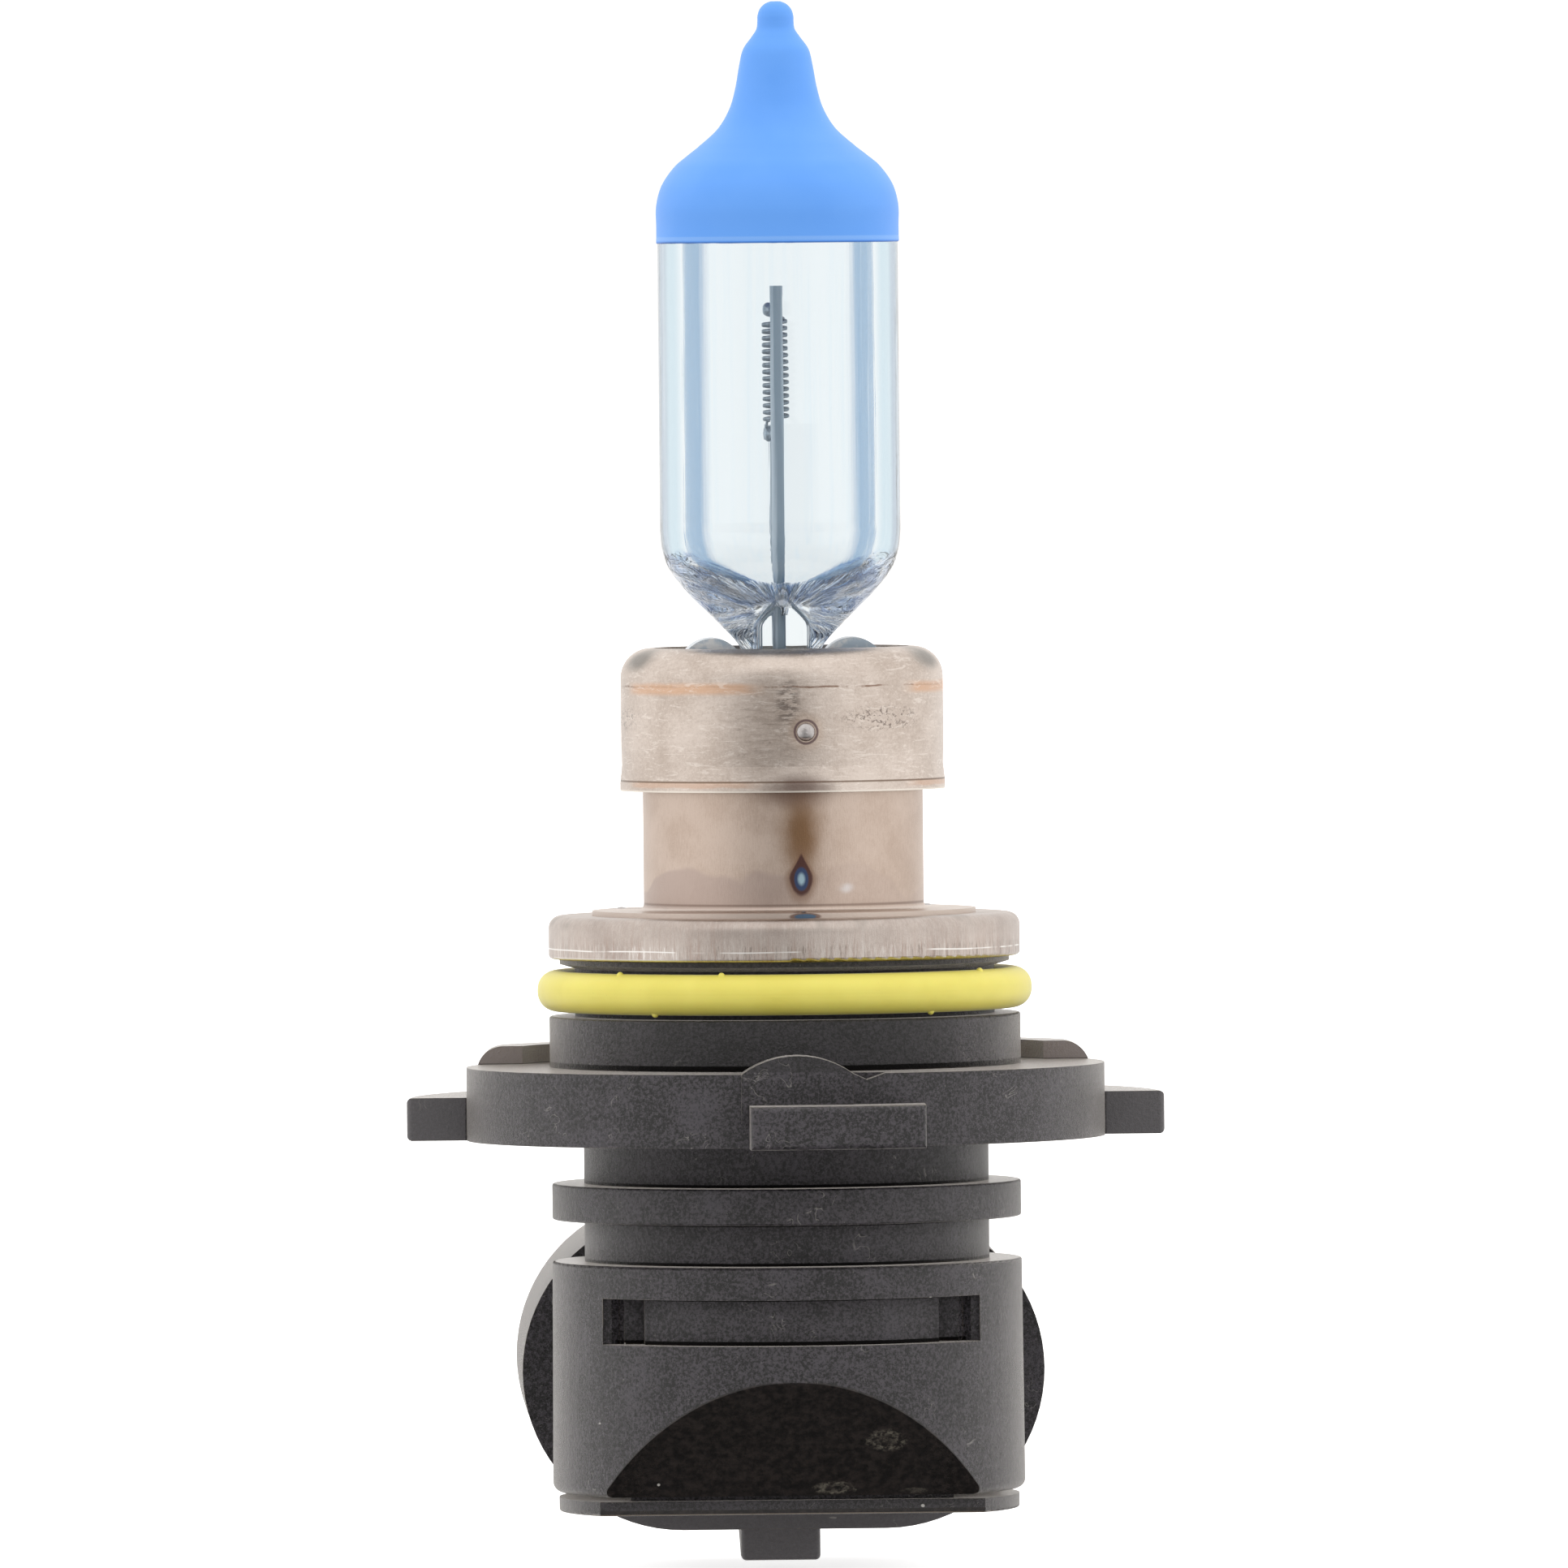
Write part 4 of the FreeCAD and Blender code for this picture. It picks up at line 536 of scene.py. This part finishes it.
def make_glass(name, clear, slants, worked=0.0):
    """Quartz, painted bluer and darker at a slant as painted shade at its edges; worked is how much its
    end is folded.
    """
    g = Graph(name)
    streak = g.noise(0.9, 3, 0.55, stretch=(3, 3, 0.05))
    g.bump(streak, 0.25, 0.02)
    # the worked end, but for the clear window at its foot
    end = g.step(g.z - END_LEVEL - g.x * g.x * 0.05, 0.15, -0.15)
    window = g.step(abs(g.x), 1.5, 1.15) * g.step(g.z, 20.9, 20.5)
    end = end * (1.0 - window) * worked
    # its folds fan out from a point that sinks towards the seal
    up = g.z - (20.1 - g.step(g.z, 20.6, 19.0) * 3.2)
    fan = g.combine(g.calc("ARCTAN2", g.x, up) * 4.5, g.length(g.x, up) * 0.35, g.y * 0.2)
    folds = g.noise(1.7, 4, 0.6, at=fan, twist=0.6)
    g.bump(folds, end * 0.9, 0.35)
    g.bump(g.noise(0.5, 2, 0.5, stretch=(1, 1, 0.3)), 0.3, 0.05)
    # painted shade: bluer and darker where the glass is seen at a slant
    slant = g.slant()
    g.colour = clear
    for low, high, tint in slants:
        g.paint(tint, g.step(slant, low, high))
    g.paint((0.74, 0.87, 0.95), g.step(streak, 0.52, 0.75) * 0.4)
    g.paint((0.62, 0.76, 1.0), end * 0.7)
    # painted shade and painted light in the end's folds, for the dark and bright things they refract
    g.paint((0.22, 0.33, 0.60), end * g.step(folds, 0.475, 0.43) * 0.85)
    g.paint((0.98, 0.99, 1.0), end * g.step(folds, 0.53, 0.56) * 0.95)
    return g.set(Base_Color=g.colour, Roughness=0.0, IOR=QUARTZ_IOR, Transmission_Weight=1.0)


def make_potting():
    g = Graph("potting")
    tone = g.noise(1.5, 4)
    g.bump(tone, 0.8, 0.1)
    return g.set(Base_Color=g.mix((0.10, 0.085, 0.07), (0.2, 0.175, 0.15), tone), Roughness=0.6)


def make_tin():
    g = Graph("tinned_blade")
    tone = g.noise(2.0, 4, 0.6, stretch=(6, 1, 1))
    g.bump(tone, 0.4, 0.01)
    return g.set(Base_Color=g.mix((0.5, 0.47, 0.42), (0.72, 0.7, 0.66), tone),
                 Metallic=1.0, Roughness=0.3)


def make_floor():
    g = Graph("floor")
    tone = g.noise(0.02, 3)
    return g.set(Base_Color=g.mix(grey(0.93), grey(0.96), tone), Roughness=0.8,
                 Emission_Color=(1, 1, 1, 1), Emission_Strength=0.7)


# --- meshes ---------------------------------------------------------------------------------------

def add_mesh(name, points, faces, material, node=None):
    """A smooth mesh from points in millimetres; with a node, it stands in for that node of the CAD."""
    mesh = bpy.data.meshes.new(name)
    mesh.from_pydata([tuple(point) for point in np.asarray(points) * MM], [], faces)
    mesh.validate()
    mesh.materials.append(material)
    mesh.polygons.foreach_set("use_smooth", [True] * len(mesh.polygons))
    item = bpy.data.objects.new(name, mesh)
    bpy.context.scene.collection.objects.link(item)
    if node:
        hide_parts(node)
        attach(item, "root")
    return item


def capped(rings, flip=False):
    """Points and faces of a closed skin through rings of equal length, with a point at each end."""
    rings = np.asarray(rings)
    count, around = rings.shape[:2]
    points = [*rings.reshape(-1, 3), rings[0].mean(0), rings[-1].mean(0)]
    first, last, end = count * around, count * around + 1, (count - 1) * around
    pairs = [(index, (index + 1) % around) for index in range(around)]
    faces = [(low + index, low + following, low + around + following, low + around + index)
             for low in range(0, end, around) for index, following in pairs]
    for index, following in pairs:
        faces += [(following, index, first), (end + index, end + following, last)]
    return points, [face[::-1] for face in faces] if flip else faces


def smooth_line(points, count):
    """A Catmull-Rom line through points, as arrays sampled evenly in its parameter."""
    points = np.asarray(points, float)
    padded = np.vstack([2 * points[0] - points[1], points, 2 * points[-1] - points[-2]])
    out = []
    for value in np.linspace(0, len(points) - 1 - 1e-9, count):
        index, share = int(value), value - int(value)
        a, b, c, d = padded[index:index + 4]
        out.append(0.5 * (2 * b + (c - a) * share + (2 * a - 5 * b + 4 * c - d) * share**2
                          + (3 * b - a - 3 * c + d) * share**3))
    return np.array(out)


def tube_along(path, radius, around):
    """Rings of a round wire along a path, with this many points round it."""
    path = np.asarray(path, float)
    ahead = np.gradient(path, axis=0)
    ahead /= np.linalg.norm(ahead, axis=1)[:, None]
    side = np.cross(ahead[0], (0.3, 0.2, 1.0))
    rings = []
    angles = np.linspace(0, 2 * math.pi, around, endpoint=False)
    for point, tangent in zip(path, ahead):
        side = side - tangent * side.dot(tangent)
        side /= np.linalg.norm(side)
        other = np.cross(tangent, side)
        rings.append(point + radius * (np.cos(angles)[:, None] * side + np.sin(angles)[:, None] * other))
    return rings


ROUND = np.linspace(0, 2 * math.pi, 256, endpoint=False)
# the tube, in millimetres: where its straight part starts and ends, and its tip's radius and level
TUBE_RADIUS, WALL = 5.62, 1.15
SHOULDER, TIP_START = 24.1, 38.3
TIP_PROFILE = [(5.62, 38.3), (5.615, 39.25), (5.36, 40.2), (4.78, 41.05), (4.14, 41.6), (3.25, 42.3),
               (2.62, 42.93), (2.13, 43.8), (1.86, 44.75), (1.69, 45.7), (1.5, 46.5), (1.1, 47.08),
               (0.86, 47.45), (0.81, 47.8), (0.8, 48.05), (0.7, 48.36), (0.48, 48.6), (0.2, 48.73)]
# the seal: a flat bar inside the holder, which thins and shortens as it runs into the tube
SEAL_FOOT, SEAL_THICK, SEAL_WIDE = 8.0, 1.25, 4.9
THINS_FROM, SHORTENS_FROM, CHANGES_OVER = 19.6, 20.9, 1.6
SQUARE = 18  # how square the bar's corners are
BLEND = 0.25  # how softly it runs into the cone, in millimetres
CAVITY_FOOT, CAVITY_SHOULDER = 20.15, 24.6


def lathe(profile):
    """Rings from a profile of (radius, height)."""
    return [np.stack([r * np.cos(ROUND), r * np.sin(ROUND), np.full_like(ROUND, z)], 1)
            for r, z in profile]


def seal_ring(level, reach, edge_reach, thin, wide):
    """One section of the pinched end: an ellipse, reach by edge_reach, blended into a flat bar,
    thin by wide."""
    narrow, shorten = (np.clip((level - start) / CHANGES_OVER, 0, 1)
                       for start in (THINS_FROM, SHORTENS_FROM))
    thin, wide = thin * (1 - 0.85 * narrow**2 * (3 - 2 * narrow)), wide * (1 - 0.6 * shorten)
    across, along = np.cos(ROUND), np.sin(ROUND)
    ellipse = ((across / reach)**2 + (along / edge_reach)**2)**-0.5
    bar = ((np.abs(across) / thin)**SQUARE + (np.abs(along) / wide)**SQUARE)**(-1 / SQUARE)
    gap = (ellipse - bar) / BLEND
    radius = bar + BLEND * np.log1p(np.exp(np.clip(gap, -30, 30)))
    return np.stack([radius * across, radius * along, np.full_like(across, level)], 1)


def build_glass(material, inside):
    """The tube with its tip and its seal, and the closed cavity in it, which has its own material."""
    flank = smooth_line([(TUBE_RADIUS, SHOULDER), (5.52, 23.2), (5.2, 22.3), (4.35, 21.2), (3.6, 20.45),
                         (2.7, 19.55), (1.95, 18.7), (1.4, 17.6), (0.9, 16.0)], 90)[::-1]
    rings = [seal_ring(z, 0.5, 0.5, SEAL_THICK, SEAL_WIDE) for z in np.linspace(SEAL_FOOT, 15.8, 12)]
    for reach, level in flank:
        # from the side, the tube is squeezed over 6 mm
        share = np.clip((SHOULDER - level) / 6.0, 0, 1)
        rings.append(seal_ring(level, reach, TUBE_RADIUS * (1 - share**1.3 * 0.8), SEAL_THICK,
                               SEAL_WIDE - 0.3 * (level > 22)))
    rings += lathe([(TUBE_RADIUS, z) for z in np.linspace(SHOULDER + 0.2, TIP_START - 0.2, 8)])
    rings += lathe(smooth_line(TIP_PROFILE, 110))
    points, faces = capped(rings)

    inner = TUBE_RADIUS - WALL
    bottom = smooth_line([(0.12, CAVITY_FOOT), (0.35, 20.75), (0.75, 21.15), (1.6, 21.32),
                          (2.6, 21.65), (3.5, 22.15), (4.15, 22.8), (4.4, 23.6),
                          (inner, CAVITY_SHOULDER)], 60)
    cavity = []
    for reach, level in bottom:
        share = (level - CAVITY_FOOT) / (CAVITY_SHOULDER - CAVITY_FOOT)
        cavity.append(seal_ring(level, reach, inner - 2.0 * (1 - share)**1.5, 0.1, 0.1))
    cavity += lathe([(inner, z) for z in np.linspace(CAVITY_SHOULDER + 0.2, TIP_START, 8)])
    cavity += lathe(smooth_line([(inner, 38.5), (4.4, 39.3), (3.9, 40.2), (3.0, 41.1), (1.9, 42.0),
                                 (1.1, 43.0), (0.6, 44.0), (0.2, 44.6)], 50))
    hollow_points, hollow_faces = capped(cavity, flip=True)
    outer = len(faces)
    faces += [tuple(index + len(points) for index in face) for face in hollow_faces]
    glass = add_mesh("glass_bulb", [*points, *hollow_points], faces, material,
                     "glass_envelope")
    glass.data.materials.append(inside)
    glass.data.polygons.foreach_set("material_index", [0] * outer + [1] * len(hollow_faces))


def build_coating(material):
    """The dipped skin: a little thicker at its lower rim, which isn't quite level."""
    profile = smooth_line(TIP_PROFILE, 110)
    outside = [(TUBE_RADIUS + 0.015, 37.50), (TUBE_RADIUS + 0.045, 37.53), (TUBE_RADIUS + 0.05, 37.62),
               (TUBE_RADIUS + 0.042, 37.8), (TUBE_RADIUS + 0.04, 38.1)]
    outside += [(r + 0.04, z + (0.04 if z > 48 else 0.02 * (z > 42))) for r, z in profile]
    inside = [(TUBE_RADIUS + 0.01, z) for z in (37.51, 38.1)] + [(r + 0.01, z) for r, z in profile]
    rings = lathe(outside)
    wave = 0.035 * np.sin(ROUND * 2 + 0.7) + 0.02 * np.sin(ROUND * 5 + 2) + 0.01 * np.sin(ROUND * 11)
    for index in range(4):
        rings[index][:, 2] += np.maximum(wave, 0) * (1 - index / 4)
    points, faces = capped(lathe(inside)[::-1] + rings)
    add_mesh("tip_skin", points, faces, material, "tip_coating")


COIL_LOW, COIL_HIGH, COIL_PITCH = 29.235, 33.865, 0.314
COIL_RADIUS, COIL_WIRE, COIL_OFF_AXIS, COIL_LEAN = 0.56, 0.085, -0.17, -0.012


def build_coil(material):
    """The wound wire, which leans a little, with a straight tail to each weld."""
    turns = (COIL_HIGH - COIL_LOW) / COIL_PITCH
    angle = np.linspace(0, 2 * math.pi * turns, int(turns * 40)) + math.radians(125)
    level = np.linspace(COIL_LOW, COIL_HIGH, len(angle))
    middle = COIL_OFF_AXIS + (level - 31.5) * COIL_LEAN
    path = np.stack([COIL_RADIUS * np.cos(angle) + middle, COIL_RADIUS * np.sin(angle), level], 1)
    start, finish = path[0], path[-1]
    foot = smooth_line([(-0.45, 1.1, 28.75), (-0.6, 0.7, 28.9), start + (-0.1, 0.15, -0.1), start], 12)
    head = smooth_line([finish, finish + (-0.1, -0.2, 0.12), (-0.6, -0.6, 34.2), (-0.5, -1.0, 34.4)], 12)
    points, faces = capped(tube_along(np.vstack([foot[:-1], path, head[1:]]), COIL_WIRE, 10))
    add_mesh("coil_winding", points, faces, material, "filament_coil")


# --- camera, floor, world -------------------------------------------------------------------------

SENSOR = 36.0  # millimetres
CAMERA_DISTANCE, FRAME_WIDTH = 1.2, 0.0732  # metres
CAMERA_SIDE, CAMERA_RISE, CAMERA_ROLL = (math.radians(angle) for angle in (-1.45, 1.2, -0.55))
TARGET = Vector((0.00006, 0.0, 0.01224))
FLOOR_HALF, FLOOR_GAP = 3000.0, 0.3  # millimetres
BACKDROP = 1.1  # how bright the world is to the camera


def add_camera():
    data = bpy.data.cameras.new("camera")
    data.sensor_width = SENSOR
    data.lens = SENSOR * CAMERA_DISTANCE / FRAME_WIDTH
    data.clip_start, data.clip_end = 0.1, 20.0
    camera = bpy.data.objects.new("camera", data)
    bpy.context.scene.collection.objects.link(camera)
    bpy.context.scene.camera = camera
    level = math.cos(CAMERA_RISE)
    away = Vector((math.sin(CAMERA_SIDE) * level, -math.cos(CAMERA_SIDE) * level, math.sin(CAMERA_RISE)))
    look = (-away).to_track_quat("-Z", "Y").to_matrix() @ Matrix.Rotation(CAMERA_ROLL, 3, "Z")
    camera.matrix_world = Matrix.Translation(TARGET + away * CAMERA_DISTANCE) @ look.to_4x4()


def add_floor(material):
    """A white sheet just under the part, which only the camera and shadows see."""
    low = CAD_BOX[0][2] / MM - FLOOR_GAP
    corners = [(x * FLOOR_HALF, y * FLOOR_HALF, low) for x, y in ((-1, -1), (1, -1), (1, 1), (-1, 1))]
    floor = add_mesh("floor", corners, [(0, 1, 2, 3)], material)
    floor.visible_diffuse = floor.visible_glossy = floor.visible_transmission = False


def add_world():
    """White studio: bright behind, beside and above, dim round the camera and below."""
    world = bpy.data.worlds.new("studio")
    bpy.context.scene.world = world
    world.use_nodes = True
    tree = world.node_tree
    nodes, links = tree.nodes, tree.links
    back = nodes["Background"]
    back.inputs["Color"].default_value = (1.0, 0.985, 0.965, 1)
    direction = nodes.new("ShaderNodeTexCoord").outputs["Generated"]

    def towards(axis, low, high, first, last):
        """A value that goes from first to last as the direction turns towards an axis."""
        dot = nodes.new("ShaderNodeVectorMath")
        dot.operation = "DOT_PRODUCT"
        links.new(direction, dot.inputs[0])
        dot.inputs[1].default_value = Vector(axis).normalized()
        fade = nodes.new("ShaderNodeMapRange")
        fade.interpolation_type = "SMOOTHSTEP"
        links.new(dot.outputs["Value"], fade.inputs[0])
        for socket, number in zip(fade.inputs[1:5], (low, high, first, last)):
            socket.default_value = number
        return fade.outputs[0]

    def product(first, second):
        made = nodes.new("ShaderNodeMath")
        made.operation = "MULTIPLY"
        links.new(first, made.inputs[0])
        links.new(second, made.inputs[1])
        return made.outputs[0]

    front = towards((-0.14, -1, 0), 0.70, 0.97, 1.15, 0.64)
    below = towards((0, -0.35, -1), 0.25, 0.85, 1.0, 0.5)
    under = towards((0, 0, -1), 0.62, 0.95, 1.0, 0.12)
    studio = product(product(front, below), under)
    # through the glass: white all round the horizon, darker overhead and underneath
    through = product(towards((0, 0, 1), 0.25, 0.65, 1.05, 0.4),
                      towards((0, 0, -1), 0.15, 0.6, 1.0, 0.3))
    paths = nodes.new("ShaderNodeLightPath")
    white = nodes.new("ShaderNodeValue").outputs[0]
    white.default_value = BACKDROP
    for ray, level in (("Is Transmission Ray", through), ("Is Camera Ray", white)):
        pick = nodes.new("ShaderNodeMix")
        links.new(paths.outputs[ray], pick.inputs[0])
        links.new(studio, pick.inputs[2])
        links.new(level, pick.inputs[3])
        studio = pick.outputs[0]
    links.new(studio, back.inputs["Strength"])


def dress(nodes, material):
    """Gives CAD pieces a material."""
    for name in nodes:
        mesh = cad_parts[name].data
        mesh.materials.clear()
        mesh.materials.append(material)


def main():
    bpy.context.scene.view_settings.view_transform = "Standard"
    add_camera()
    add_world()
    add_floor(make_floor())

    dress(["base_housing", "bottom_cover"], make_plastic("black_plastic"))
    dress(["glass_holder_cup"], make_cup_metal())
    dress(["locating_sleeve"], make_sleeve_metal())
    dress(["base_ring"], make_ring_metal())
    dress(["holder_weld_beads", "flange_weld_beads"], make_bead_metal())
    dress(["pinch_clip"], make_clip_steel())
    dress(["long_lead_post", "short_lead_post", "front_foil", "rear_foil", "front_outer_lead",
           "rear_outer_lead", "coil_weld_top", "coil_weld_bottom"],
          make_wire_metal("molybdenum", (0.33, 0.42, 0.51), (0.72, 0.80, 0.88)))
    dress(["sealing_ring"], make_rubber())
    dress(["terminal_left", "terminal_right"], make_tin())
    dress(["lead_seal"], make_potting())
    # each painted slant shade: from and to how much, and the tint
    outside = [(0.36, 0.50, (0.46, 0.65, 0.77)), (0.58, 0.68, (0.25, 0.35, 0.48))]
    inside = [(0.28, 0.45, (0.14, 0.27, 0.48))]
    build_glass(make_glass("quartz_glass", (0.86, 0.92, 0.95), outside, worked=1.0),
                make_glass("quartz_inside", (0.93, 0.952, 0.968), inside))
    build_coating(make_coating())
    build_coil(make_wire_metal("tungsten", (0.28, 0.34, 0.40), (0.58, 0.66, 0.74)))


main()
